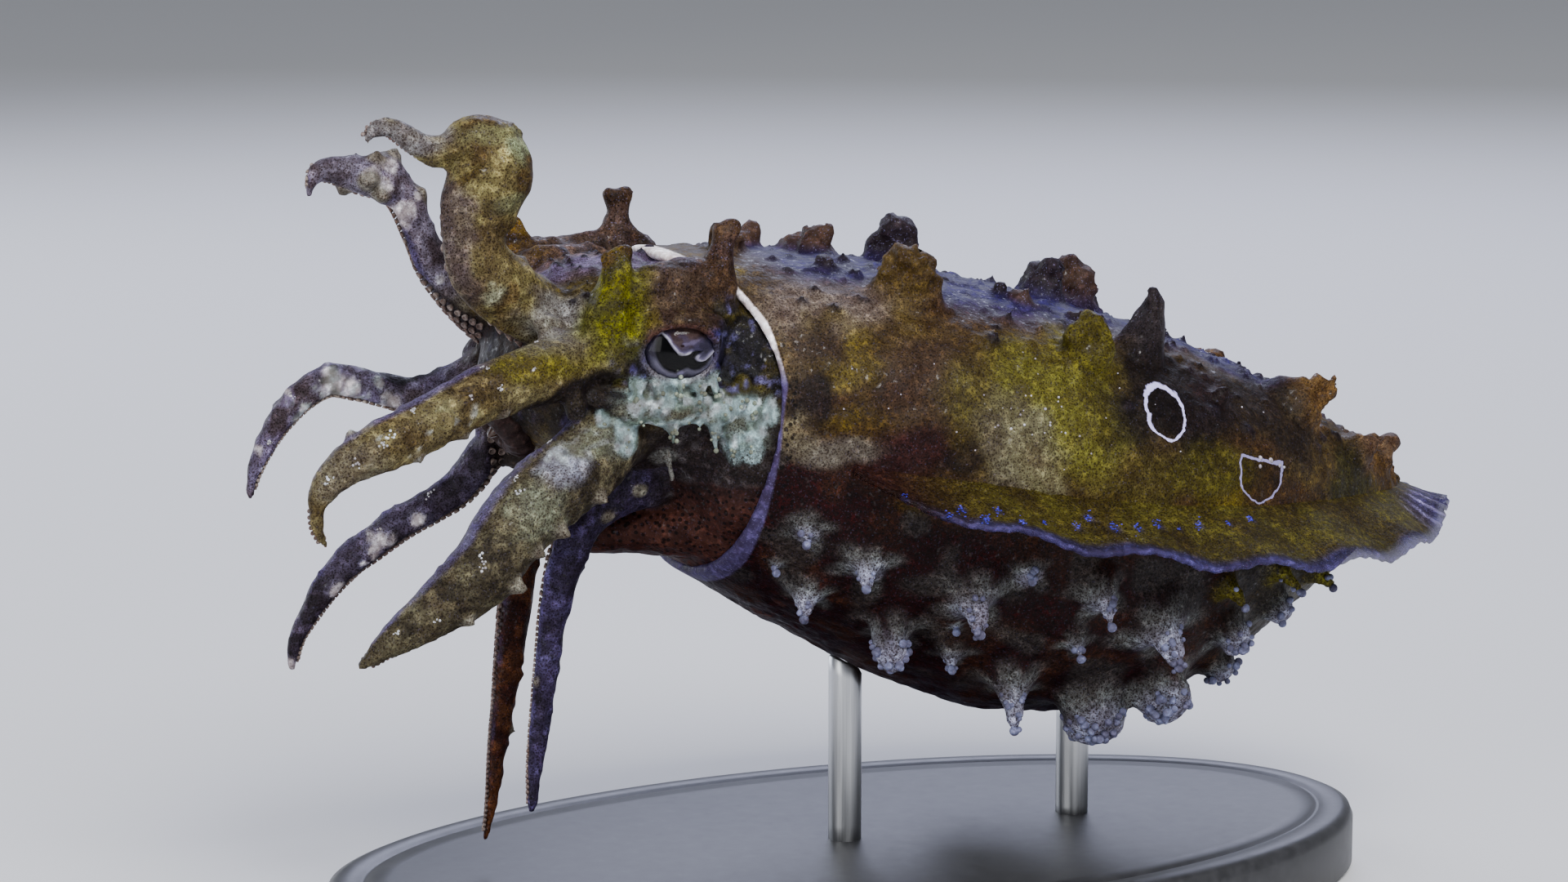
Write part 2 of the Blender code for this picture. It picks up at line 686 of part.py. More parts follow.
def funnel_mesh():
    """The funnel: an oval tube that narrows forwards, open at its front."""
    rings = []
    for i in range(7):
        x = HEAD_BACK + (FUNNEL_FRONT - HEAD_BACK) * i / 6
        wide, z, tall = between(FUNNEL_STATIONS, x)
        rings.append((x, wide, z, tall))
    front = rings[-1]
    rings.append((front[0], front[1] - FUNNEL_WALL, front[2], front[3] - FUNNEL_WALL))
    rings.append((front[0] + FUNNEL_DEPTH, front[1] - FUNNEL_WALL, front[2], front[3] - FUNNEL_WALL))
    outline = []
    for x, wide, z, tall in rings:
        ring = []
        for k in range(FUNNEL_SIDES):
            a = math.tau * k / FUNNEL_SIDES
            ring.append(Vector((x, wide * math.cos(a), z + tall * math.sin(a))))
        outline.append(ring)
    return loft(outline)


def lid_mesh(side):
    """The ring of lid round an eye, wider than tall and thicker above."""
    bm = bmesh.new()
    rings = []
    for i in range(LID_STEPS):
        around = math.tau * i / LID_STEPS
        up = max(0.0, math.sin(around))
        thick = LID_THICKNESS * (1.0 + 0.6 * up)
        ring = []
        for k in range(LID_SIDES):
            a = math.tau * k / LID_SIDES
            x = (LID_RADII[0] + thick * math.cos(a)) * math.cos(around)
            z = (LID_RADII[1] + thick * math.cos(a)) * math.sin(around)
            ring.append(bm.verts.new(Vector((x, -thick * math.sin(a) - LID_OUT - 0.2 * up, z))))
        rings.append(ring)
    for i, ring in enumerate(rings):
        after = rings[(i + 1) % len(rings)]
        for k in range(LID_SIDES):
            j = (k + 1) % LID_SIDES
            bm.faces.new((ring[k], ring[j], after[j], after[k]))
    turn = Matrix.Rotation(math.radians(-LID_TURN), 3, "Z")
    bmesh.ops.rotate(bm, cent=(0, 0, 0), matrix=turn, verts=bm.verts)
    bmesh.ops.translate(bm, vec=(EYE_CENTRE[0], -EYE_CENTRE[1], EYE_CENTRE[2]), verts=bm.verts)
    if side > 0:
        bmesh.ops.scale(bm, vec=(1, -1, 1), verts=bm.verts)
    bmesh.ops.recalc_face_normals(bm, faces=bm.faces)
    mesh = bpy.data.meshes.new("lid")
    bm.to_mesh(mesh)
    bm.free()
    return mesh


def head_papillae(side):
    draw = random.Random(SMALL_SEED + side)
    pieces = []
    for around, out, radius, height in BROW_PAPILLAE:
        a, b = math.radians(around), math.radians(out)
        way = Vector((-math.cos(a) * math.cos(b), side * math.sin(b), math.sin(a) * math.cos(b)))
        foot = Vector([c * (side if i == 1 else 1) + w * r
                       for i, (c, w, r) in enumerate(zip(ORBIT_CENTRE, way, ORBIT_RADII))])
        lean = Vector((0.0, 0.0, 0.9))
        pieces.append(papilla(foot, way, lean, radius, height, BACK_LEVELS, draw))
    for x, up, radius, height in CHEEK_PAPILLAE:
        foot = head_point(x, math.radians(up))
        way = Vector((0.0, foot.y, (foot.z - ORBIT_CENTRE[2]) * 0.8)).normalized()
        lean = Vector((0.0, 0.0, -0.7 if up < 0 else 0.4))
        mirrored = Matrix.Diagonal((1.0, -side, 1.0))
        pieces.append(papilla(mirrored @ foot, mirrored @ way, lean, radius, height, SIDE_LEVELS, draw))
    return pieces


def head_core():
    angles = [math.tau * i / HEAD_SIDES for i in range(HEAD_SIDES)]
    rings = []
    for i in range(HEAD_RINGS + 1):
        x = HEAD_BACK + (HEAD_FRONT - HEAD_BACK) * i / HEAD_RINGS
        rings.append([head_point(x, a) for a in angles])
    return loft(rings)


def make_flesh():
    place("mantle", joined(mantle_core(), mantle_papillae()), "mantle")
    place("fin_left", fin_mesh(-1), "fin")
    place("fin_right", fin_mesh(1), "fin")
    place("funnel", funnel_mesh(), "funnel")
    stubs = []
    for name, (places, widths, cuts) in ARMS.items():
        arm = Arm(places, widths)
        stubs.append(arm.solid(0.0, cuts[0] - GAP / 2))
        ends = [*cuts, arm.length]
        for part, start, end in zip(("root", "middle", "tip"), ends, ends[1:]):
            core = arm.solid(start + GAP / 2, end - (GAP / 2 if end < arm.length else 0))
            pieces = arm_suckers(arm, start + GAP / 2, end - GAP / 2)
            mesh = joined(core, pieces) if pieces else core
            place(f"{name}_{part}", mesh, "arm")
    raised, sockets = [], []
    for side in (-1, 1):
        orbit = (ORBIT_CENTRE[0], ORBIT_CENTRE[1] * side, ORBIT_CENTRE[2])
        eye = (EYE_CENTRE[0], EYE_CENTRE[1] * side, EYE_CENTRE[2])
        raised.append(ellipsoid(orbit, ORBIT_RADII, 14, 9))
        raised.append(lid_mesh(side))
        raised.extend(head_papillae(side))
        sockets.append(ellipsoid(eye, (EYE_RADIUS + GAP,) * 3, 14, 10))
        place("eye_left" if side < 0 else "eye_right", ellipsoid(eye, (EYE_RADIUS,) * 3, 14, 10), "eye")
    seat = CROWN_CENTRE + CROWN_AXIS * MOUTH_SEAT
    sockets.append(turned(seat, CROWN_AXIS, ((MOUTH_RADIUS, 0.0), (MOUTH_RADIUS, 8.0)), 14))
    place("head", joined(head_core(), [*stubs, *raised], sockets), "head")
    place("mouth", turned(seat + CROWN_AXIS * GAP, CROWN_AXIS, MOUTH_PROFILE, 12), "mouth")


def make_stand():
    bpy.ops.mesh.primitive_cylinder_add(vertices=BASE_SIDES, radius=MM, depth=BASE_HEIGHT * MM)
    base = bpy.context.object
    base.name = "stand_base"
    base.data.transform(Matrix.Diagonal((*BASE_RADII, 1.0, 1.0)))
    base.data.transform(Matrix.Translation((0, 0, BASE_HEIGHT * MM / 2)))
    edge = base.modifiers.new("edge", "BEVEL")
    edge.width = BASE_BEVEL * MM
    edge.segments = 1
    edge.angle_limit = math.radians(40)
    base.data.materials.append(material("base"))
    for name, x in ROD_PLACES.items():
        bpy.ops.mesh.primitive_cylinder_add(vertices=ROD_SIDES, radius=ROD_RADIUS * MM, depth=MM)
        rod = bpy.context.object
        rod.name = name
        for vert in rod.data.vertices:
            if vert.co.z > 0:
                side = vert.co.y / MM
                half, _, line, belly = between(MANTLE_STATIONS, x + vert.co.x / MM)
                drop = (1 - abs(side / half) ** BELLY_SQUARENESS) ** (1 / BELLY_SQUARENESS)
                vert.co.z = (line - (line - belly) * drop - GAP) * MM
            else:
                vert.co.z = (BASE_HEIGHT + GAP) * MM
            vert.co.x += x * MM
        rod.data.materials.append(material("rod"))
    for obj in [base, *[bpy.data.objects[n] for n in ROD_PLACES]]:
        for holder in obj.users_collection:
            holder.objects.unlink(obj)
        bpy.data.collections["cuttlefish"].objects.link(obj)


def main():
    for obj in list(bpy.data.objects):
        bpy.data.objects.remove(obj)
    bpy.context.scene.collection.children.link(bpy.data.collections.new("cuttlefish"))
    make_flesh()
    make_stand()
    for obj in bpy.data.collections["cuttlefish"].objects:
        obj.data.shade_smooth()
        obj.data.set_sharp_from_angle(angle=math.radians(50))


main()
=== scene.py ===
import bisect
import math
import random

import bmesh
import bpy
import numpy as np
from mathutils import Matrix, Vector
from mathutils.bvhtree import BVHTree


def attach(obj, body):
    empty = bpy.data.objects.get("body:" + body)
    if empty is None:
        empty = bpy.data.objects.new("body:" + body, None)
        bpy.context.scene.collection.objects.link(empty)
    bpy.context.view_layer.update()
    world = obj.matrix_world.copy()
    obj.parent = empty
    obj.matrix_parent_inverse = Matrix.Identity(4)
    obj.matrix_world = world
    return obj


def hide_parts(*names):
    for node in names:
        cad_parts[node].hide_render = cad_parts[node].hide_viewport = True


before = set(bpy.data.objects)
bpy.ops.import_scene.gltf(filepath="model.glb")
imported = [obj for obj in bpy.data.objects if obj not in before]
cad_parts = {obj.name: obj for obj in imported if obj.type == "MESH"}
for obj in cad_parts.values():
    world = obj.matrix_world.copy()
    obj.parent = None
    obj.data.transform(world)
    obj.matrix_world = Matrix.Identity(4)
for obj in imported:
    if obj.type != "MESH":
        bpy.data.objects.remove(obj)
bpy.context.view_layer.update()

MM = 0.001
MANTLE_STATIONS = (
    (-13.0, 14.2, 52.4, 40.0, 27.6),
    (-6.0, 16.6, 51.6, 36.9, 22.4),
    (2.0, 18.3, 50.2, 35.2, 17.7),
    (11.0, 19.0, 48.1, 33.5, 14.6),
    (20.0, 18.2, 45.4, 32.1, 14.1),
    (28.0, 15.8, 42.5, 31.2, 16.6),
    (35.0, 12.4, 39.0, 30.5, 20.6),
    (41.0, 8.4, 35.4, 29.9, 23.9),
    (45.5, 4.8, 32.2, 29.5, 26.5),
    (48.0, 1.8, 30.2, 29.3, 28.2),
)
MANTLE_FRONT = -13.0
MANTLE_TAIL = 48.0
BACK_SQUARENESS = 2.4
BELLY_SQUARENESS = 2.1
# How far the front rim reaches forward, by the sine of the angle up from the fin line.
RIM_REACH = ((-1.0, 2.1), (-0.42, 0.8), (0.26, -0.8), (0.6, 0.1), (0.87, 1.9), (1.0, 4.5))
RIM_FADE = 15.0
LIP_SHARE = 0.93
RECESS_FLOOR = -8.5
MANTLE_GRAIN = 0.335


def between(stations, x):
    """The row of a table at x, joined from row to row by a smooth curve that doesn't overshoot."""
    rows = sorted(stations)
    last = len(rows) - 2
    i = max(k for k in range(last + 1) if k == 0 or rows[k][0] <= x)
    h = rows[i + 1][0] - rows[i][0]
    t = min(1.0, max(0.0, (x - rows[i][0]) / h))
    values = []
    for column in range(1, len(rows[0])):

        def slope(k):
            return (rows[k + 1][column] - rows[k][column]) / (rows[k + 1][0] - rows[k][0])

        def tangent(k):
            if k == 0 or k == last + 1:
                return slope(min(k, last))
            before, after = slope(k - 1), slope(k)
            return 0.0 if before * after <= 0 else 2 * before * after / (before + after)

        a, b = rows[i][column], rows[i + 1][column]
        ma, mb = tangent(i) * h, tangent(i + 1) * h
        values.append(
            a * (2 * t**3 - 3 * t**2 + 1) + b * (3 * t**2 - 2 * t**3)
            + ma * (t**3 - 2 * t**2 + t) + mb * (t**3 - t**2)
        )
    return values


def signed_power(value, power):
    return math.copysign(abs(value) ** power, value)


def mantle_point(x, angle, share=1.0):
    """A place on the mantle: angle 0 is the left fin line, a quarter turn the back."""
    half, back, line, belly = between(MANTLE_STATIONS, x)
    up = math.sin(angle)
    squareness = BACK_SQUARENESS if up > 0 else BELLY_SQUARENESS
    rise = back - line if up > 0 else line - belly
    y = -half * signed_power(math.cos(angle), 2 / squareness)
    z = line + rise * signed_power(up, 2 / squareness)
    middle = (back + belly) / 2
    fade = max(0.0, 1 - (x - MANTLE_FRONT) / RIM_FADE) ** 2
    reach = between(RIM_REACH, up)[0]
    return Vector((x - reach * fade, y * share, middle + (z - middle) * share))


def mantle_way(x, angle):
    """The way out of the mantle at a place."""
    along = mantle_point(x + 0.2, angle) - mantle_point(x - 0.2, angle)
    round_it = mantle_point(x, angle + 0.02) - mantle_point(x, angle - 0.02)
    return along.cross(round_it).normalized()


def mesh_of(bm, name):
    """The finished mesh of what was being made, which is let go of."""
    mesh = bpy.data.meshes.new(name)
    bm.to_mesh(mesh)
    bm.free()
    return mesh


def join(bm, part):
    """Adds one mesh being made to another, and lets go of it."""
    mesh = mesh_of(part, "part")
    bm.from_mesh(mesh)
    bpy.data.meshes.remove(mesh)


def linked(name, data):
    """A new object of the scene."""
    made = bpy.data.objects.new(name, data)
    bpy.context.scene.collection.objects.link(made)
    return made


def oval(wide, tall, turn, height):
    """A place on a level oval round the upright axis."""
    return Vector((wide * math.cos(turn), tall * math.sin(turn), height))


def sleeve(bm, rings, sides, put):
    """Adds a closed tube of rings; put(ring, turn) gives the place of each of its points."""
    tube = bmesh.new()
    bmesh.ops.create_cone(tube, cap_ends=True, segments=sides, radius1=1.0, radius2=1.0, depth=1.0)
    long = [e for e in tube.edges if abs(e.verts[0].co.z - e.verts[1].co.z) > 0.5]
    bmesh.ops.subdivide_edges(tube, edges=long, cuts=rings - 2)
    for vert in tube.verts:
        ring = round((vert.co.z + 0.5) * (rings - 1))
        vert.co = put(ring, math.atan2(vert.co.y, vert.co.x))
    bmesh.ops.recalc_face_normals(tube, faces=tube.faces)
    join(bm, tube)


def ball(bm, centre, radii, fine=2):
    """Adds an egg of those radii."""
    egg = bmesh.new()
    bmesh.ops.create_icosphere(egg, subdivisions=fine, radius=1.0)
    for vert in egg.verts:
        vert.co = Vector([c + v * r for c, v, r in zip(centre, vert.co, radii)])
    join(bm, egg)


def strand(bm, stops, count):
    """Adds a soft rope of balls along a few stops, each a place and a radius."""
    for k in range(count):
        t = k / (count - 1) * (len(stops) - 1)
        i = min(int(t), len(stops) - 2)
        x, y, z, r = (a + (b - a) * (t - i) for a, b in zip(stops[i], stops[i + 1]))
        ball(bm, (x, y, z), (r, r, r), 2)


def skinned(bm, grain, rounds):
    """One soft closed skin over all that the mesh holds, in squares about that wide."""
    body = linked("rough", mesh_of(bm, "rough"))
    cover = body.modifiers.new("cover", "REMESH")
    cover.mode = "VOXEL"
    cover.voxel_size = grain
    smooth = body.modifiers.new("smooth", "SMOOTH")
    smooth.factor = 0.5
    smooth.iterations = rounds
    graph = bpy.context.evaluated_depsgraph_get()
    skin = bpy.data.meshes.new_from_object(body.evaluated_get(graph))
    bpy.data.objects.remove(body)
    bm = bmesh.new()
    bm.from_mesh(skin)
    unseen = set(bm.verts)
    shells = []
    while unseen:
        front = [unseen.pop()]
        shell = set(front)
        while front:
            for edge in front.pop().link_edges:
                for vert in edge.verts:
                    if vert in unseen:
                        unseen.remove(vert)
                        shell.add(vert)
                        front.append(vert)
        shells.append(shell)
    keep = max(shells, key=len)
    bmesh.ops.delete(bm, geom=[v for v in bm.verts if v not in keep], context="VERTS")
    bm.to_mesh(skin)
    bm.free()
    return skin


def points_of(mesh):
    flat = np.empty(len(mesh.vertices) * 3, np.float32)
    mesh.vertices.foreach_get("co", flat)
    return flat.reshape(-1, 3).astype(float)


def normals_of(mesh):
    flat = np.empty(len(mesh.vertices) * 3, np.float32)
    mesh.vertex_normals.foreach_get("vector", flat)
    return flat.reshape(-1, 3).astype(float)


def move_to(mesh, points):
    mesh.vertices.foreach_set("co", points.astype(np.float32).ravel())
    mesh.update()


def mottle(points, size, seed=0):
    """Soft noise from 0 to 1 in patches of about that size, the same on each run."""
    q = points / size + seed * 17.31
    cell = np.floor(q).astype(np.int64)
    f = q - cell
    f = f * f * (3 - 2 * f)
    total = np.zeros(len(points))
    for corner in range(8):
        step = np.array([(corner >> k) & 1 for k in range(3)])
        key = (cell + step) @ np.array([73856093, 19349663, 83492791])
        key = (key ^ (key >> 13)) * 1274126177 & 0x7FFFFFFF
        key = (key ^ (key >> 11)) * 668265263 & 0x7FFFFFFF
        total += (key >> 7) % 8192 / 8191 * np.prod(np.where(step, f, 1 - f), axis=1)
    return total


def ease(value, low, high):
    """0 below low, 1 above high, and smooth between them; it falls instead if high is the smaller."""
    t = np.clip((value - low) / (high - low), 0, 1)
    return t * t * (3 - 2 * t)


def patchy(points, size, seed, low, high):
    """A mask of soft patches of about that size: 1 where the noise is above high."""
    return ease(mottle(points, size, seed), low, high)


def on_side(place, side):
    """A place given with its y to the right, on the side asked for: -1 is the left."""
    return place[0], place[1] * side, place[2]


def stray(axis, draw):
    """A random way at right angles to an axis."""
    return Vector((draw.uniform(-1, 1), draw.uniform(-1, 1), draw.uniform(-1, 1))).cross(axis).normalized()


def shade(*screen):
    """A colour as it looks on a screen, 0 to 255, made linear and as deep as paint under lamps must be."""
    linear = np.array([((c / 255 + 0.055) / 1.055) ** 2.4 if c > 10 else c / 3295 for c in screen])
    grey = linear @ np.array([0.21, 0.72, 0.07])
    return np.maximum(0.0, grey + (linear - grey) * 1.14) * 0.52


def wash(colours, mask, colour, rows=slice(None)):
    """Lays a colour, or one given as it looks on a screen, over the others where the mask says."""
    colour = shade(*colour) if isinstance(colour, tuple) else colour
    colours[rows] += (colour - colours[rows]) * np.clip(mask, 0, 1)[:, None]


def blot(points, centre, radius, soft=0.35, ragged=0.5, seed=0):
    """A mask that is 1 inside a ragged soft-edged spot, round or with its own radius along x, y and z."""
    reach = np.ones(3) * radius
    far = np.linalg.norm((points - np.array(centre)) / reach, axis=1)
    near = far < 1 + soft + ragged
    far[near] += ragged * (mottle(points[near], max(0.5, reach.mean() * 0.45), seed) - 0.5)
    return ease(far, 1 + soft, 1 - soft)


def keep_values(mesh, **kept):
    """Stores colours at each point of a mesh under their names, for its material."""
    for name, values in kept.items():
        found = mesh.attributes.new(name, "FLOAT_COLOR", "POINT")
        flat = np.ones((len(values), 4), np.float32)
        flat[:, : values.shape[1]] = values
        found.data.foreach_set("color", flat.ravel())


def mantle_seat(x, degrees):
    """A place on the mantle and the way out of it there."""
    return mantle_point(x, math.radians(degrees)), mantle_way(x, math.radians(degrees))


def papilla(bm, foot, way, lean, radius, height, profile, draw, sides=14):
    """Adds a soft horn: profile gives its share of the radius at shares of its height."""
    turn = way.to_track_quat("Z", "Y")
    tip = (way + lean).normalized()
    skew = draw.uniform(0, 6.28)

    def put(ring, around):
        level, share = profile[ring]
        uneven = 1 + 0.13 * math.sin(2 * around + skew) + 0.08 * math.sin(3 * around - skew + ring)
        reach = radius * share * uneven
        middle = foot + way.lerp(tip, min(1.0, max(0.0, level))) * height * level
        return middle + turn @ oval(reach, reach, around, 0.0)

    sleeve(bm, len(profile), sides, put)
    return foot + tip * height


# Forms of papillae: shares of the height, from under the skin to the tip, and of the radius at each.
LUMP = (
    (-0.5, 1.45), (-0.12, 1.4), (0.06, 1.2), (0.3, 1.02), (0.55, 0.9), (0.76, 0.76), (0.92, 0.52),
    (1.0, 0.26),
)
CONE = (
    (-0.5, 1.5), (-0.12, 1.42), (0.08, 1.15), (0.32, 0.88), (0.56, 0.64), (0.78, 0.44), (0.93, 0.26),
    (1.0, 0.08),
)
NIPPLE = (
    (-0.4, 2.2), (-0.12, 2.1), (0.06, 1.5), (0.22, 1.0), (0.42, 0.68), (0.62, 0.55), (0.82, 0.45),
    (0.97, 0.24),
)
CLUMP = (
    (-0.4, 1.7), (-0.1, 1.6), (0.1, 1.25), (0.3, 1.1), (0.55, 1.1), (0.78, 0.95), (0.93, 0.62), (1.0, 0.2),
)

# Papillae of the back: x, degrees up from the left fin line, radius, height, lean, form, knobs and tint.
BACK_PAPILLAE = (
    (-9.0, 88, 1.3, 2.0, (0, 0, 0.3), LUMP, 4, "brown"),
    (-6.6, 101, 1.2, 1.8, (0, 0, 0.3), LUMP, 4, "rust"),
    (-2.4, 97, 2.0, 2.1, (0, 0, 0.2), LUMP, 5, "rust"),
    (4.0, 95, 1.85, 3.5, (0, 0, 0.2), LUMP, 7, "dark"),
    (-0.6, 61, 2.15, 3.9, (-0.1, 0, 0.5), LUMP, 7, "olivebrown"),
    (-4.6, 74, 0.8, 1.2, (0, 0, 0.3), LUMP, 2, "dark"),
    (8.6, 74, 0.55, 1.3, (0, 0, 0.3), CONE, 0, "dark"),
    (10.2, 70, 0.9, 1.5, (0, 0, 0.3), LUMP, 2, "brown"),
    (14.5, 86, 1.5, 3.1, (0, 0, 0.1), LUMP, 4, "dark"),
    (18.6, 95, 2.3, 3.6, (0, 0, 0.1), LUMP, 6, "brown"),
    (14.8, 66, 1.0, 1.3, (0, 0, 0.3), LUMP, 3, "dark"),
    (18.6, 57, 1.9, 5.3, (-0.1, 0, 0.75), CONE, 0, "slate"),
    (12.3, 45, 1.75, 3.2, (-0.1, 0, 0.9), LUMP, 3, "olive"),
    (23.8, 40, 0.8, 1.5, (0.4, 0, 0.2), CONE, 0, "dark"),
    (33.0, 52, 2.0, 4.6, (2.2, 0, 0.2), CONE, 3, "orange"),
    (39.6, 36, 1.4, 3.0, (2.0, 0, 0.1), CONE, 3, "pink"),
    (44.2, 60, 1.5, 2.0, (1.8, 0, 0.3), LUMP, 4, "pink"),
    (1.0, 122, 2.0, 3.0, (0, 0, 0.4), LUMP, 5, "olivebrown"),
    (10.5, 132, 1.7, 2.8, (0, 0, 0.7), LUMP, 3, "olive"),
    (25.0, 124, 1.8, 4.0, (0, 0, 0.7), CONE, 1, "slate"),
    (33.5, 127, 1.8, 3.8, (2.0, 0, 0.2), CONE, 3, "orange"),
    (39.6, 144, 1.3, 2.6, (2.0, 0, 0.1), CONE, 3, "pink"),
)

# Papillae of both lower sides: x, degrees down from the fin line, radius, height, knobs and form.
SIDE_PAPILLAE = (
    (-10.2, 23, 0.9, 1.8, 5, NIPPLE),
    (-6.2, 25, 1.25, 2.6, 8, NIPPLE),
    (-8.6, 46, 1.1, 2.6, 12, NIPPLE),
    (-10.8, 42, 0.45, 1.0, 3, NIPPLE),
    (-2.8, 45, 1.35, 3.6, 24, CLUMP),
    (1.6, 24, 1.6, 3.8, 20, NIPPLE),
    (1.2, 36, 0.4, 0.8, 3, NIPPLE),
    (1.8, 46, 0.9, 1.7, 8, NIPPLE),
    (7.0, 49, 1.5, 4.4, 22, NIPPLE),
    (5.6, 15, 0.9, 1.3, 5, NIPPLE),
    (11.5, 18, 1.2, 3.3, 12, NIPPLE),
    (10.6, 32, 0.8, 1.8, 8, NIPPLE),
    (17.0, 25, 1.9, 4.4, 22, NIPPLE),
    (14.5, 55, 2.2, 3.9, 60, CLUMP),
    (19.6, 48, 1.9, 3.5, 46, CLUMP),
    (22.8, 16, 0.9, 2.8, 3, NIPPLE),
    (28.2, 15, 1.0, 3.2, 3, NIPPLE),
    (24.5, 32, 1.4, 2.4, 14, CLUMP),
    (29.5, 31, 1.1, 1.8, 10, CLUMP),
    (26.0, 52, 1.4, 1.9, 14, CLUMP),
    (33.6, 25, 1.0, 2.4, 5, NIPPLE),
)
TINTS = {
    "dark": (56, 46, 46),
    "slate": (62, 56, 62),
    "brown": (86, 66, 50),
    "rust": (100, 78, 58),
    "olivebrown": (102, 84, 44),
    "olive": (116, 112, 50),
    "orange": (130, 102, 64),
    "pink": (134, 110, 88),
    "white": (206, 212, 244),
    "small": (46, 38, 46),
    "cream": (158, 154, 120),
    "yellow": (140, 138, 62),
}
SMALL_PAPILLAE = 110
SMALL_SEED = 11

# The rings of the lip: the share of the mouth's width, and how far back from the mouth's edge.
LIP_RINGS = ((LIP_SHARE, 4.5), (LIP_SHARE, 0.5), (0.95, -0.05), (0.972, -0.25), (0.992, -0.15))
MANTLE_RINGS = 70
MANTLE_SIDES = 96
rough = bmesh.new()


def mantle_put(ring, turn):
    if ring < len(LIP_RINGS):
        share, ahead = LIP_RINGS[ring]
        point = mantle_point(MANTLE_FRONT, turn, share)
        point.x = RECESS_FLOOR if ring == 0 else point.x + ahead
        return point
    t = (ring - len(LIP_RINGS)) / (MANTLE_RINGS - len(LIP_RINGS) - 1)
    return mantle_point(MANTLE_FRONT + (MANTLE_TAIL - MANTLE_FRONT) * (t + 0.12 * t * (1 - t)), turn)


sleeve(rough, MANTLE_RINGS, MANTLE_SIDES, mantle_put)
draw = random.Random(SMALL_SEED)
marks = []
bubbles = []
for x, up, radius, height, lean, profile, knobs, tint in BACK_PAPILLAE:
    foot, way = mantle_seat(x, up)
    tip = papilla(rough, foot, way, Vector(lean), radius, height, profile, draw)
    axis = (tip - foot).normalized()
    for k in range(knobs):
        around = stray(axis, draw)
        share = 0.72 if profile is LUMP else 0.3
        middle = tip - axis * draw.uniform(0.3, 0.9) + around * radius * share
        ball(rough, middle, (draw.uniform(0.3, 0.5),) * 3, 1)
    marks.append((foot, tip, radius, tint))
for x, down, radius, height, knobs, profile in SIDE_PAPILLAE:
    for side in (-down, 180 + down):
        foot, way = mantle_seat(x, side)
        lean = Vector((0.1 + max(0.0, x - 12) * 0.035, 0.0, -0.95))
        tip = papilla(rough, foot, way, lean, radius, height, profile, draw)
        axis = (tip - foot).normalized()
        for k in range(knobs):
            level = draw.uniform(0.35, 1.0)
            share = next(b[1] for b in profile if b[0] >= level - 0.06) if level < 0.95 else 0.3
            around = stray(axis, draw)
            size = draw.uniform(0.15, 0.3) * (1.25 if profile is CLUMP else 1)
            middle = foot + way.lerp(axis, level) * height * level
            bubbles.append((middle + around * (radius * share - size * 0.35), size))
        if profile is NIPPLE:
            bubbles.append((tip - axis * 0.12, 0.3 + 0.06 * radius))
        yellow = down < 19 and x > 20 or x > 30
        marks.append((foot, tip, radius * 1.25, "yellow" if yellow else "white"))
placed = 0
while placed < SMALL_PAPILLAE:
    x, up = draw.uniform(-10.0, 43.0), draw.gauss(90, 30)
    if not 22 < up < 158:
        continue
    foot, way = mantle_seat(x, up)
    if min((foot - m[0]).length - m[2] for m in marks) < 0.9:
        continue
    radius = draw.uniform(0.24, 0.5)
    lean = Vector((draw.uniform(-0.4, 0.4), 0.0, 0.3))
    tip = papilla(rough, foot, way, lean, radius, radius * draw.uniform(1.2, 2.1), CONE, draw, 8)
    marks.append((foot, tip, radius, "small"))
    placed += 1

# The one papilla just above each fin is pale, flat and points down and back.
for side in (-1, 1):
    stops = ((4.6, 17.2 * side, 38.6, 1.5), (5.8, 18.2 * side, 36.9, 1.0), (6.9, 19.0 * side, 35.3, 0.45))
    strand(rough, stops, 7)
    marks.append((Vector((4.4, 17.2 * side, 39.0)), Vector((7.1, 19.1 * side, 35.0)), 1.1, "cream"))
mantle_mesh = skinned(rough, MANTLE_GRAIN, 4)


def mantle_place(points):
    """How far back each point is from the mouth of the mantle, and its degrees up from the fin line."""
    xs = np.linspace(MANTLE_FRONT, MANTLE_TAIL, 160)
    table = np.array([between(MANTLE_STATIONS, x) for x in xs])
    half, back, line, belly = (np.interp(points[:, 0], xs, table[:, k]) for k in range(4))
    above = points[:, 2] > line
    power = np.where(above, BACK_SQUARENESS, BELLY_SQUARENESS) / 2
    rise = np.abs(points[:, 2] - line) / np.where(above, back - line, line - belly)
    up = np.degrees(np.arctan2(rise**power, (np.abs(points[:, 1]) / half) ** power)) * np.where(above, 1, -1)
    reach = np.interp(np.sin(np.radians(up)), *zip(*RIM_REACH))
    fade = np.clip(1 - (points[:, 0] + reach - MANTLE_FRONT) / RIM_FADE, 0, 1) ** 2
    return points[:, 0] + reach * fade, up


def near_horn(points, foot, tip, radius):
    """The points near a horn, how high up it each one is, from 0 to 1, and how far from its middle line."""
    axis = np.array(tip - foot)
    length = np.linalg.norm(axis)
    close = np.abs(points - np.array(foot + tip) / 2).max(axis=1) < length + radius * 3
    rows = np.nonzero(close)[0]
    offset = points[rows] - np.array(foot)
    level = offset @ axis / length**2
    away = np.linalg.norm(offset - np.clip(level, 0, 1)[:, None] * axis, axis=1)
    return rows, level, away / radius


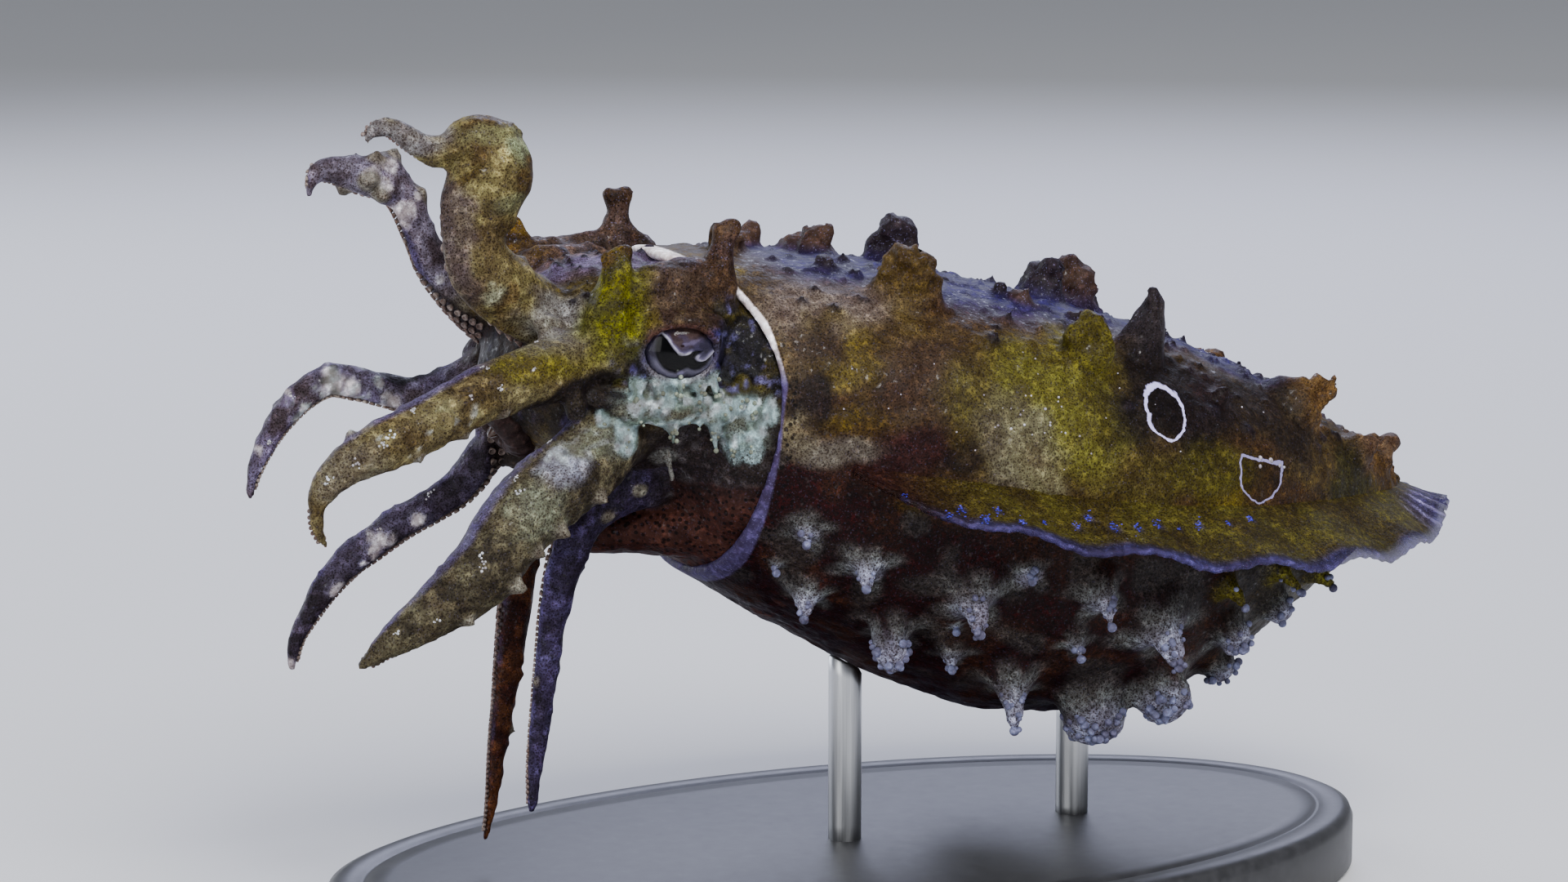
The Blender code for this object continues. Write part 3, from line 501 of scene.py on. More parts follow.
# Patches of the mantle, alike on both sides: middle, radii, tint and strength.
MANTLE_PATCHES = (
    ((-8.6, 15.5, 35.6), (6.0, 6, 3.2), (62, 32, 27), 0.9),
    ((-2.5, 17.0, 43.5), (5.4, 5, 3.8), (78, 58, 50), 0.8),
    ((3.5, 13.5, 48.0), (5.0, 5, 2.6), (88, 68, 44), 0.7),
    ((-8.0, 12.0, 49.2), (6.0, 5, 2.2), (162, 150, 142), 0.8),
    ((-8.6, 14.2, 48.3), (2.2, 3, 1.4), (130, 118, 54), 0.7),
    ((-7.4, 15.3, 44.7), (2.2, 3, 1.3), (124, 112, 54), 0.6),
    ((-11.8, 14.4, 44.5), (1.3, 3, 4.4), (144, 128, 100), 0.6),
    ((-9.7, 13.6, 46.7), (2.0, 3, 1.7), (72, 56, 54), 0.65),
    ((-10.4, 14.6, 42.7), (2.0, 3, 2.3), (34, 24, 28), 0.9),
    ((-3.6, 17.2, 38.6), (3.6, 4, 1.7), (58, 27, 29), 0.9),
    ((-6.6, 16.5, 39.7), (2.0, 3, 1.3), (62, 32, 30), 0.6),
    ((-9.4, 15.6, 38.8), (4.0, 4, 1.0), (136, 132, 122), 0.85),
    ((-12.0, 14.4, 39.8), (1.5, 3, 1.8), (140, 134, 110), 0.6),
    ((8.6, 17.2, 41.4), (7.0, 6, 5.8), (128, 126, 62), 0.95),
    ((12.6, 13.5, 45.2), (3.0, 4, 3.0), (126, 118, 34), 0.8),
    ((4.6, 18.0, 38.6), (3.6, 4, 3.2), (144, 142, 124), 0.65),
    ((0.2, 18.0, 37.8), (1.5, 3, 1.5), (42, 28, 26), 0.85),
    ((20.5, 15.5, 41.0), (7.5, 6, 5.6), (34, 25, 27), 0.95),
    ((23.5, 13.0, 41.4), (1.7, 3, 2.0), (46, 26, 26), 0.75),
    ((31.0, 11.5, 38.2), (6.0, 5, 4.0), (52, 44, 38), 0.85),
    ((20.5, 17.2, 35.3), (7.5, 4, 2.2), (98, 94, 42), 0.8),
    ((38.5, 9.0, 31.5), (5.0, 5, 3.2), (58, 58, 34), 0.85),
    ((43.0, 4.0, 33.2), (4.2, 5, 2.6), (130, 98, 66), 0.7),
)
MAROON = shade(44, 10, 11)
# Violet of the back, partly the skin's own and partly a painted sheen of light from above.
VIOLET_SHEEN = shade(50, 45, 108)
COLLAR = shade(122, 110, 168)
# Painted highlight: the bright white of the upper collar, brighter than any paint.
COLLAR_HIGHLIGHT = shade(255, 252, 255) * 2.6


def mantle_colours(points):
    """Mantle markings: tint, strength of dots and glints, the pale front rim, and painted sheen and
    highlight.
    """
    x, up = mantle_place(points)
    rags = mottle(points, 6, 1) * 0.55 + mottle(points, 2.4, 2) * 0.45
    colours = np.tile(shade(108, 92, 56), (len(points), 1))
    wash(colours, ease(rags, 0.42, 0.62) * 0.8, (88, 64, 42))
    wash(colours, patchy(points, 3.4, 3, 0.6, 0.8) * 0.7, (128, 114, 38))
    for centre, radii, tint, strength in MANTLE_PATCHES:
        for side in (-1, 1):
            spot = blot(points, on_side(centre, side), radii, 0.42, 0.8, 3 if side < 0 else 8)
            wash(colours, strength * spot, tint)
    # The back is violet: partly the skin's own violet, partly a painted sheen of light from above.
    violet_back_and_sheen = ease(up + 16 * (rags - 0.5), 54, 70) * ease(x, 43, 36) * ease(x, -11, -7)
    wash(colours, violet_back_and_sheen * 0.92, VIOLET_SHEEN)
    wash(colours, violet_back_and_sheen * patchy(points, 1.5, 5, 0.5, 0.75) * 0.6, (52, 42, 62))
    below = ease(up + 8 * (rags - 0.5), -2, -9)
    wash(colours, below, MAROON)
    wash(colours, below * patchy(points, 3.0, 6, 0.5, 0.75) * 0.6, (78, 50, 34))
    wash(colours, ease(up, -4, -12) * ease(up, -60, -35) * ease(x, 20, 34) * 0.7, (88, 86, 56))
    wash(colours, below * patchy(points, 2.6, 7, 0.55, 0.72) * ease(up, -75, -55) * 0.5, (92, 94, 92))
    wash(colours, ease(x, 39, 46) * 0.5, (98, 80, 44))
    for foot, tip, radius, tint in marks:
        rows, level, away = near_horn(points, foot, tip, radius)
        if tint == "white":
            out = np.array(Vector((0, foot.y, foot.z - 40)).normalized())
            offset = points[rows] - np.array(foot)
            turn = np.arctan2(offset @ np.cross(out, (1, 0, 0)), offset[:, 0])
            star = away / (1 + 0.36 * np.cos(5 * turn + 3 * foot.x)) + 0.5 * (rags[rows] - 0.5)
            grains = 0.6 + 0.4 * patchy(points[rows], 0.5, 31, 0.3, 0.6)
            wash(colours, ease(star, 1.7, 0.8) * ease(level, -0.35, 0.25) * grains, (138, 144, 144), rows)
            wash(colours, ease(away, 1.3, 0.7) * ease(level, 0.05, 0.8), TINTS[tint], rows)
        elif tint in ("yellow", "cream"):
            wash(colours, ease(away, 1.7, 0.7) * ease(level, -0.2, 0.5) * 0.9, TINTS[tint], rows)
        else:
            wash(colours, ease(away, 1.8, 1.15) * ease(level, -0.15, 0.45) * 0.9, TINTS[tint], rows)
    wide = np.interp(up, (-90, -50, -15, 8, 30, 50, 90), (0.8, 0.8, 0.3, 0.12, 0.3, 0.4, 0.6))
    ramp = np.clip(0.5 + (MANTLE_FRONT + wide - x) / 2.0, 0, 1)
    rim = np.tile(COLLAR, (len(points), 1))
    wash(rim, ease(up, 0, -25), (96, 86, 132))
    # Painted highlight in white along the upper collar.
    wash(rim, ease(up, 14, 34) * patchy(points, 3.5, 12, 0.1, 0.4), COLLAR_HIGHLIGHT)
    wash(rim, ease(up, 58, 66) * ease(up, 78, 70), COLLAR)
    lines = ease(np.abs(x - MANTLE_FRONT - wide - 0.5), 0.6, 0.3) * ease(up, 55, 20)
    dots = (0.85 + 0.15 * below) * (1 - 0.75 * violet_back_and_sheen)
    finish = np.stack([dots, np.maximum(0.55 * below, lines), 0.2 + 0.6 * violet_back_and_sheen], axis=1)
    return colours, finish, np.column_stack([rim, ramp])


points, normals = points_of(mantle_mesh), normals_of(mantle_mesh)
x, up = mantle_place(points)
free = ease(x, MANTLE_FRONT + 0.8, MANTLE_FRONT + 3)
relief = 0.2 * (mottle(points, 2.4, 21) - 0.5) + 0.22 * (mottle(points, 0.95, 22) - 0.5)
relief += 0.3 * patchy(points, 0.8, 23, 0.72, 0.95) * ease(up, 8, 25)
lumps, crags = mottle(points, 1.35, 29) - 0.5, mottle(points, 0.7, 30) - 0.5
for foot, tip, radius, tint in marks:
    if tint not in ("white", "small", "yellow", "cream", "slate"):
        rows, level, away = near_horn(points, foot, tip, radius)
        relief[rows] += (1.3 * lumps + 0.9 * crags)[rows] * ease(level, 0.0, 0.5) * ease(away, 2.2, 1.2)
points += normals * (relief * free)[:, None]
move_to(mantle_mesh, points)
tints, finish, rim = mantle_colours(points)
keep_values(mantle_mesh, tint=tints, finish=finish, rim=rim)


class Wires:
    """Short ways to lay and join the nodes of one tree."""

    def __init__(self, tree):
        self.nodes, self.links = tree.nodes, tree.links

    def set(self, socket, value):
        if isinstance(value, bpy.types.NodeSocket):
            self.links.new(value, socket)
        else:
            tint = isinstance(value, tuple) and len(socket.default_value) == 4
            socket.default_value = (*value, 1) if tint else value

    def give(self, node, values):
        """Sets or joins the inputs of a node by their names."""
        for name, value in values.items():
            self.set(node.inputs[name], value)

    def values(self, name):
        """The outputs of an attribute that the mesh holds."""
        node = self.nodes.new("ShaderNodeAttribute")
        node.attribute_name = name
        return node.outputs

    def noise(self, place, scale, detail=2.0, rough=0.5):
        node = self.nodes.new("ShaderNodeTexNoise")
        self.give(node, {"Vector": place, "Scale": scale, "Detail": detail, "Roughness": rough})
        return node.outputs["Fac"]

    def cells(self, place, scale):
        node = self.nodes.new("ShaderNodeTexVoronoi")
        self.give(node, {"Vector": place, "Scale": scale})
        return node.outputs["Distance"]

    def span(self, value, low, high, out_low=0.0, out_high=1.0):
        node = self.nodes.new("ShaderNodeMapRange")
        node.interpolation_type = "SMOOTHSTEP"
        self.give(node, {"Value": value, "From Min": low, "From Max": high})
        self.give(node, {"To Min": out_low, "To Max": out_high})
        return node.outputs["Result"]

    def ramp(self, value, dark, light, low=0.0, high=1.0):
        node = self.nodes.new("ShaderNodeValToRGB")
        for end, at, tint in zip(node.color_ramp.elements, (low, high), (dark, light)):
            end.position = at
            end.color = (*tint, 1)
        self.set(node.inputs["Fac"], value)
        return node.outputs["Color"]

    def maths(self, way, a, b=0.0):
        node = self.nodes.new("ShaderNodeMath")
        node.operation = way
        self.set(node.inputs[0], a)
        self.set(node.inputs[1], b)
        return node.outputs[0]

    def mix(self, factor, below, above, way="MIX"):
        node = self.nodes.new("ShaderNodeMix")
        node.data_type = "RGBA"
        node.blend_type = way
        self.set(node.inputs[0], factor)
        self.set(node.inputs[6], below)
        self.set(node.inputs[7], above)
        return node.outputs[2]

    def bump(self, height, strength, distance, before=None):
        node = self.nodes.new("ShaderNodeBump")
        self.give(node, {"Strength": strength, "Distance": distance, "Height": height})
        if before:
            self.links.new(before, node.inputs["Normal"])
        return node.outputs["Normal"]


def new_group(name, ins, outs):
    """An empty node group with its sockets, its two ends and its wires."""
    group = bpy.data.node_groups.new(name, "ShaderNodeTree")
    for ways, rows in (("INPUT", ins), ("OUTPUT", outs)):
        for label, kind in rows:
            group.interface.new_socket(name=label, in_out=ways, socket_type="NodeSocket" + kind)
    return group, group.nodes.new("NodeGroupInput"), group.nodes.new("NodeGroupOutput"), Wires(group)


def new_finish(name):
    """An empty material with its wires, its shader and the places on its piece."""
    made = bpy.data.materials.new(name)
    made.use_nodes = True
    wire = Wires(made.node_tree)
    return made, wire, wire.nodes["Principled BSDF"], wire.nodes.new("ShaderNodeTexCoord").outputs["Object"]


colour_cells, enter, leave, wire = new_group(
    "colour_cells",
    (("Tint", "Color"), ("Finish", "Color"), ("Place", "Vector")),
    (("Colour", "Color"), ("Roughness", "Float"), ("Normal", "Vector"), ("Wet", "Float")),
)
split = wire.nodes.new("ShaderNodeSeparateColor")
wire.links.new(enter.outputs["Finish"], split.inputs["Color"])
place = enter.outputs["Place"]
broad, fine, grit = (wire.noise(place, *v) for v in ((420.0, 3.0), (1700.0, 4.0, 0.6), (7500.0, 2.0)))
light = enter.outputs["Tint"]
for mask, tint in (
    (wire.span(broad, 0.36, 0.66, 0.0, 0.85), (0.52, 0.45, 0.44)),
    (wire.span(fine, 0.4, 0.6, 0.7, 0.0), (0.55, 0.48, 0.45)),
    (wire.span(fine, 0.52, 0.7, 0.0, 0.9), (2.0, 1.95, 1.9)),
):
    light = wire.mix(mask, light, tint, "MULTIPLY")
for scale, low, high, channel, dark in (
    (7800.0, 0.5, 0.28, "Red", (0.38, 0.31, 0.28)),
    (4700.0, 0.46, 0.26, "Red", (0.24, 0.18, 0.16)),
    (3300.0, 0.3, 0.18, "Red", (0.32, 0.24, 0.2)),
    (2150.0, 0.38, 0.3, "Green", (0.05, 0.03, 0.03)),
):
    strength = wire.maths("MULTIPLY", wire.span(wire.cells(place, scale), low, high), split.outputs[channel])
    light = wire.mix(wire.maths("MULTIPLY", strength, 0.85), light, dark, "MULTIPLY")
glint = wire.maths("MULTIPLY", wire.span(grit, 0.6, 0.75), split.outputs["Blue"])
pores = wire.bump(fine, 0.7, 0.00016)
wire.give(leave, {
    "Colour": wire.mix(wire.maths("MULTIPLY", glint, 0.3), light, (0.42, 0.38, 0.75)),
    "Roughness": wire.span(fine, 0.3, 0.7, 0.46, 0.66),
    "Wet": wire.span(wire.noise(place, 2600.0, 2.0), 0.6, 0.74, 0.0, 0.4),
    "Normal": wire.bump(wire.cells(place, 3300.0), 0.4, 0.00006, pores),
})


def ring_mark(name, middle, radii, lean, stroke, ragged, flat=9.0):
    """A group that draws one thin ragged ring on both sides of the mantle, cut off flat above a line."""
    outs = (("Line", "Float"), ("Inside", "Float"))
    group, enter, leave, wire = new_group(name, (("Place", "Vector"),), outs)
    maths = wire.maths
    place = enter.outputs["Place"]
    parts = wire.nodes.new("ShaderNodeSeparateXYZ")
    wire.links.new(place, parts.inputs[0])
    x, z = (
        maths("MULTIPLY", maths("SUBTRACT", parts.outputs[axis], at * MM), 1 / MM)
        for axis, at in zip("XZ", middle)
    )
    c, s = math.cos(math.radians(lean)), math.sin(math.radians(lean))
    u = maths("ADD", maths("MULTIPLY", x, c / radii[0]), maths("MULTIPLY", z, s / radii[0]))
    v = maths("SUBTRACT", maths("MULTIPLY", z, c / radii[1]), maths("MULTIPLY", x, s / radii[1]))
    round_it = maths("SQRT", maths("ADD", maths("MULTIPLY", u, u), maths("MULTIPLY", v, v)))
    far = maths("MAXIMUM", round_it, maths("ADD", v, 1 - flat / radii[1]))
    rags = maths("MULTIPLY", maths("SUBTRACT", wire.noise(place, 900.0, 3.0), 0.5), ragged)
    far = maths("ADD", far, rags)
    wide = maths("ADD", stroke, maths("MULTIPLY", wire.span(v, -0.6, 0.5), stroke * 0.8))
    edge = maths("DIVIDE", maths("ABSOLUTE", maths("SUBTRACT", far, 1.0)), wide)
    wire.give(leave, {"Line": wire.span(edge, 1.0, 0.55), "Inside": wire.span(far, 1.0, 0.9)})
    return group


RING_MARKS = (
    (ring_mark("egg_ring", (17.9, 40.0), (1.72, 1.95), 24, 0.07, 0.5), (0.62, 0.58, 1.0), 1.0),
    (ring_mark("bowl_ring", (26.6, 34.9), (2.35, 2.5), -16, 0.04, 0.3, 0.7), (0.36, 0.33, 0.62), 0.75),
)


def flesh(name, clear=False, marked=False):
    """A moist skin that takes its tint from the piece's own colours."""
    made, wire, shader, place = new_finish(name)
    cells = wire.nodes.new("ShaderNodeGroup")
    cells.node_tree = colour_cells
    tint, dots = wire.values("tint"), wire.values("finish")
    under, finish, colour = tint["Color"], dots["Color"], cells.outputs["Colour"]
    if clear:
        wire.links.new(dots["Alpha"], shader.inputs["Alpha"])
    if marked:
        rim = wire.values("rim")
        on = wire.span(rim["Alpha"], 0.45, 0.55)
        under = wire.mix(on, under, rim["Color"])
        finish = wire.mix(on, finish, (0.1, 0.0, 0.9))
        for group, paint, strength in RING_MARKS:
            ring = wire.nodes.new("ShaderNodeGroup")
            ring.node_tree = group
            wire.links.new(place, ring.inputs["Place"])
            dim = wire.maths("MULTIPLY", ring.outputs["Inside"], 0.45)
            colour = wire.mix(dim, colour, (0.4, 0.36, 0.34), "MULTIPLY")
            colour = wire.mix(wire.maths("MULTIPLY", ring.outputs["Line"], strength), colour, paint)
    wire.give(cells, {"Tint": under, "Finish": finish, "Place": place})
    wire.give(shader, {
        "Base Color": colour, "Roughness": cells.outputs["Roughness"], "Normal": cells.outputs["Normal"],
        "Specular IOR Level": 0.09, "Coat Weight": cells.outputs["Wet"], "Coat Roughness": 0.14,
        "Sheen Weight": 0.01, "Sheen Roughness": 0.35, "Sheen Tint": (0.3, 0.24, 0.9),
        "Subsurface Weight": 0.08, "Subsurface Radius": (1.0, 0.45, 0.3), "Subsurface Scale": 0.0007,
    })
    return made


def show(name, mesh, finish, nodes=()):
    """Puts a piece made in millimetres into the scene in metres, and hides the model parts it stands for."""
    mesh.name = name
    mesh.transform(Matrix.Scale(MM, 4))
    mesh.materials.clear()
    mesh.materials.append(finish)
    mesh.shade_smooth()
    piece = linked(name, mesh)
    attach(piece, "root")
    if nodes:
        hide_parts(*nodes)
    return piece


mantle_flesh = flesh("moist_mantle_skin", marked=True)
show("mantle_skin", mantle_mesh, mantle_flesh, ["mantle"])

# Tiny bumps like beads of glass sit on the belly's papillae, and white ones are strewn on the sides. Here
# they are solid pale balls of skin, each less than a millimetre wide, copied to their places and joined.


def copies(pattern, places):
    """One mesh of many copies of a pattern, one at each matrix."""
    points = points_of(pattern)
    loops = np.concatenate([list(p.vertices) for p in pattern.polygons])
    sizes = np.array([len(p.vertices) for p in pattern.polygons])
    n = len(places)
    turned = np.array([np.array(m)[:3, :3] for m in places])
    shifts = np.array([np.array(m)[:3, 3] for m in places])
    moved = np.einsum("nij,pj->npi", turned, points) + shifts[:, None, :]
    mesh = bpy.data.meshes.new("copies")
    mesh.vertices.add(n * len(points))
    mesh.vertices.foreach_set("co", moved.astype(np.float32).ravel())
    mesh.loops.add(n * len(loops))
    corners = loops + np.arange(n)[:, None] * len(points)
    mesh.loops.foreach_set("vertex_index", corners.ravel().astype(np.int32))
    mesh.polygons.add(n * len(sizes))
    begin = np.cumsum(sizes) - sizes + np.arange(n)[:, None] * len(loops)
    mesh.polygons.foreach_set("loop_start", begin.ravel().astype(np.int32))
    mesh.update(calc_edges=True)
    return mesh


def on_flank(x, z, side):
    """The place on the mantle's flank at that distance and height."""
    low, high = 0.0, math.pi / 2
    for _ in range(24):
        middle = (low + high) / 2
        low, high = (middle, high) if mantle_point(x, middle).z < z else (low, middle)
    point = mantle_point(x, low)
    return Vector((point.x, -point.y * side, point.z))


def beads(name, rows, tint, finish, flat=1.0):
    """A joined piece of small balls, each a place and a radius."""
    bead = bmesh.new()
    bmesh.ops.create_icosphere(bead, subdivisions=2, radius=1.0)
    pattern = mesh_of(bead, "bead")
    squash = Matrix.Diagonal((1.0, 1.0, flat, 1.0))
    mesh = copies(pattern, [Matrix.Translation(p) @ Matrix.Scale(r, 4) @ squash for p, r in rows])
    points = points_of(mesh)
    colours = np.tile(tint, (len(points), 1))
    wash(colours, mottle(points, 1.5, 7) * 0.5, tint * 0.6)
    keep_values(mesh, tint=colours, finish=np.tile((0.1, 0.0, 0.3), (len(points), 1)))
    return show(name, mesh, finish)


bead_flesh = flesh("clear_bumps")
beads("belly_bumps", bubbles, shade(160, 166, 206), bead_flesh)
# Specks in the lower ring mark, each by how far back it is, its height and its radius.
BOWL_SPECKS = (
    (26.6, 35.75, 0.2), (26.4, 35.15, 0.2), (27.7, 35.4, 0.26), (28.7, 34.9, 0.17), (29.2, 34.7, 0.12),
)
CLUSTER_SPECKS = 34
STREWN_SPECKS = 26
draw = random.Random(8)
specks = []
for side in (-1, 1):
    for x, z, size in BOWL_SPECKS:
        specks.append((on_flank(x, z, side), size))
    for _ in range(CLUSTER_SPECKS):
        x, z = draw.gauss(6.0, 2.0), draw.gauss(40.2, 1.9)
        specks.append((on_flank(x, z, side), draw.uniform(0.05, 0.12)))
    for _ in range(STREWN_SPECKS):
        x, z = draw.uniform(-9, 36), draw.uniform(37, 45)
        if z < between(MANTLE_STATIONS, x)[1] - 3:
            specks.append((on_flank(x, z, side), draw.uniform(0.04, 0.08)))
beads("white_specks", specks, shade(232, 230, 245) * 1.3, bead_flesh)

# The fins are thin skirts of muscle along the mantle, with a narrow slot between them behind the tail: olive
# like the back near the root, with a row of blue spots, and clear violet at the rippled edge. Each is a fine
# grid bent along the fin line, its root flared into the mantle, and thickened from its middle.
FIN_START = -8.0
FIN_END = 0.45
FIN_WIDTHS = ((0.0, 0.9), (0.08, 4.2), (0.16, 5.6), (0.45, 5.7), (0.8, 5.0), (0.93, 3.8), (1.0, 3.5))
FIN_DROOPS = ((0.0, 0.2), (0.15, 0.3), (0.5, 0.5), (0.8, 0.55), (1.0, 0.22))
FIN_WAVE = 0.42
FIN_WAVES = 6.5
FIN_ROOT = 3.2
FIN_COLUMNS = 480
FIN_ROWS = 26
FIN_RAYS = 21
FIN_PROBE = 1.6
BLUE_SPOTS = (
    (-5.8, -20.4, 1.0), (-3.2, -22.3, 1.1), (-1.6, -21.3, 1.0), (-0.3, -22.7, 1.2), (1.2, -21.7, 0.9),
    (2.5, -23.0, 0.8), (4.6, -22.4, 0.5), (7.4, -22.2, 0.8), (8.9, -21.1, 1.0), (10.5, -22.3, 1.1),
    (12.5, -22.2, 0.9), (14.7, -21.2, 1.0), (16.6, -21.0, 0.5), (18.7, -20.2, 0.9), (21.5, -19.8, 0.6),
    (24.1, -18.6, 0.9),
)


def at_length(dense, run, s):
    """The point at a length along a dense path."""
    i = max(k for k in range(len(run) - 1) if k == 0 or run[k] <= s)
    t = (s - run[i]) / max(1e-9, run[i + 1] - run[i])
    return dense[i].lerp(dense[i + 1], t)


fin_route = [mantle_point(FIN_START + (MANTLE_TAIL - FIN_START) * i / 120, 0.0) for i in range(120)]
corner = mantle_point(MANTLE_TAIL, 0.0)
fin_route += [Vector((corner.x, corner.y + (-FIN_END - corner.y) * i / 8, corner.z)) for i in range(9)]
fin_run = [0.0]
for a, b in zip(fin_route, fin_route[1:]):
    fin_run.append(fin_run[-1] + (b - a).length)


def fin_sheet(side):
    """The fin of one side with its tints, -1 for the left one."""
    bm = bmesh.new()
    bmesh.ops.create_grid(bm, x_segments=FIN_COLUMNS, y_segments=FIN_ROWS, size=0.5)
    columns = {}
    steps = []
    for vert in bm.verts:
        t, w = vert.co.x + 0.5, vert.co.y + 0.5
        key = round(t * FIN_COLUMNS)
        if key not in columns:
            s = t * fin_run[-1]
            ahead = at_length(fin_route, fin_run, min(s + FIN_PROBE, fin_run[-1]))
            along = ahead - at_length(fin_route, fin_run, max(0.0, s - FIN_PROBE))
            columns[key] = (
                at_length(fin_route, fin_run, s), Vector((along.y, -along.x, 0.0)).normalized(),
                between(FIN_WIDTHS, t)[0], between(FIN_DROOPS, t)[0],
            )
        at, out, width, droop = columns[key]
        rear = max(0.0, t - 0.84) / 0.16
        wave = FIN_WAVE * math.sin(math.tau * FIN_WAVES * t + 0.6) * w**1.5 * min(1.0, t / 0.22)
        folds = 0.05 * math.sin(math.tau * 46 * t + 2 * math.sin(9 * t))
        folds = folds * max(0.0, w - 0.6) / 0.4 * (1 + 3 * rear)
        frill = 0.07 * math.sin(math.tau * 23 * t + side) * math.sin(math.tau * 7.3 * t) * w**3
        rays = 1.1 * rear * (abs(math.sin(math.tau * FIN_RAYS * t)) ** 0.6 - 0.5) * max(0.0, w - 0.55)
        reach = -1.3 + (width + 1.45 + frill + rays) * w
        share = max(0.0, reach) / width
        place = at + out * reach
        vert.co = Vector((place.x, place.y * -side, place.z + wave + folds - droop * width * share**1.3))
        steps.append((t, w))
    mesh = mesh_of(bm, "fin")
    points = points_of(mesh)
    t, w = np.array(steps).T
    rags = mottle(points, 3.0, 31)
    colours = np.tile(shade(102, 96, 46), (len(points), 1))
    wash(colours, ease(rags, 0.45, 0.75) * 0.6, (74, 60, 32))
    wash(colours, ease(t, 0.2, 0.02), (66, 38, 30))
    edge = ease(w + 0.1 * (rags - 0.5), 0.84, 0.94) * ease(t, 0.04, 0.16)
    wash(colours, edge, (66, 60, 104))
    wash(colours, ease(w, 0.95, 0.995) * edge * 0.7, (116, 108, 176))
    rear = ease(t, 0.84, 0.93) * ease(w, 0.3, 0.6)
    wash(colours, rear * 0.85, (78, 70, 130))
    wash(colours, rear * ease(np.abs(np.sin(math.tau * FIN_RAYS * t)), 0.75, 0.98) * 0.8, (186, 178, 240))
    for bx, by, size in BLUE_SPOTS:
        near = np.hypot(points[:, 0] - bx, points[:, 1] - by * -side)
        wash(colours, ease(near, 0.6 * size, 0.2 * size) * 0.4, (72, 74, 150))
    opaque = 1 - 0.35 * ease(w, 0.8, 0.97)
    finish = np.stack([1 - edge, 0 * edge, 0.2 + 0.5 * edge, opaque], axis=1)
    keep_values(mesh, tint=colours, finish=finish)
    sheet = linked("sheet", mesh)
    group = sheet.vertex_groups.new(name="thickness")
    for i, share in enumerate(w):
        thick = 0.4 + 1.1 * max(0.0, 1 - share * 1.4) + 1.6 * max(0.0, 1 - share / 0.38) ** 2
        group.add([i], thick / FIN_ROOT, "REPLACE")
    shell = sheet.modifiers.new("thickness", "SOLIDIFY")
    shell.thickness = FIN_ROOT
    shell.offset = 0.0
    shell.vertex_group = "thickness"
    graph = bpy.context.evaluated_depsgraph_get()
    solid = bpy.data.meshes.new_from_object(sheet.evaluated_get(graph))
    bpy.data.objects.remove(sheet)
    bm = bmesh.new()
    bm.from_mesh(solid)
    bmesh.ops.recalc_face_normals(bm, faces=bm.faces)
    tree = BVHTree.FromBMesh(bm)
    bm.to_mesh(solid)
    bm.free()
    draw = random.Random(21)
    for bx, by, size in BLUE_SPOTS:
        for _ in range(round(15 * size)):
            out = draw.gauss(0, 0.36 * size)
            x, y = bx + draw.gauss(0, 0.17 * size) + 0.44 * out, (by + out) * -side
            hit = tree.ray_cast(Vector((x, y, 60.0)), Vector((0, 0, -1)))[0]
            if hit:
                blue_specks.append((hit, draw.uniform(0.05, 0.1)))
    return solid


blue_specks = []
fin_flesh = flesh("clear_fin_skin", clear=True)
show("fin_left_skin", fin_sheet(-1), fin_flesh, ["fin_left"])
show("fin_right_skin", fin_sheet(1), fin_flesh, ["fin_right"])
beads("fin_blue_specks", blue_specks, shade(84, 80, 240) * 1.7, bead_flesh, 0.45)

# The head carries the eyes, the eight arms round the mouth and the funnel under the throat, all of one skin.
# A rough head, the neck, the bulges round the eyes, the lids, arms, webs and papillae are set together in
# millimetres and one fine skin is drawn over them, which fillets the roots of the arms.
HEAD_STATIONS = (
    (-8.4, 10.8, 50.4, 43.0, 35.4),
    (-14.0, 11.2, 51.4, 43.4, 35.2),
    (-18.7, 11.4, 51.8, 44.0, 35.2),
    (-22.5, 10.9, 51.8, 44.0, 35.6),
    (-26.0, 8.8, 50.9, 43.8, 37.4),
    (-28.8, 5.4, 48.0, 43.2, 39.6),
    (-30.2, 2.6, 45.2, 42.8, 41.2),
)
HEAD_SQUARENESS = 2.2
HEAD_GRAIN = 0.265
HEAD_BACK = -8.8
HEAD_LENGTH = 21.4
HEAD_RINGS = 36
HEAD_SIDES = 64
ORBIT_CENTRE = (-19.6, 7.7, 46.4)
ORBIT_RADII = (5.2, 4.85, 5.5)
EYE_CENTRE = (-19.1, 8.75, 46.3)
EYE_RADIUS = 4.0
EYE_TURN = 12.0
OPENING = (2.45, 1.8)
LID_RINGS = 61
CROWN_CENTRE = Vector((-25.0, 0.0, 43.3))
CROWN_AXIS = Vector((-0.78, 0.0, -0.63)).normalized()
MOUTH_SEAT = 4.4
ARM_FLATNESS = 0.82
ORAL_SHARE = 0.72
BEND_LIMIT = 0.85
ARM_RING_STEP = 0.55
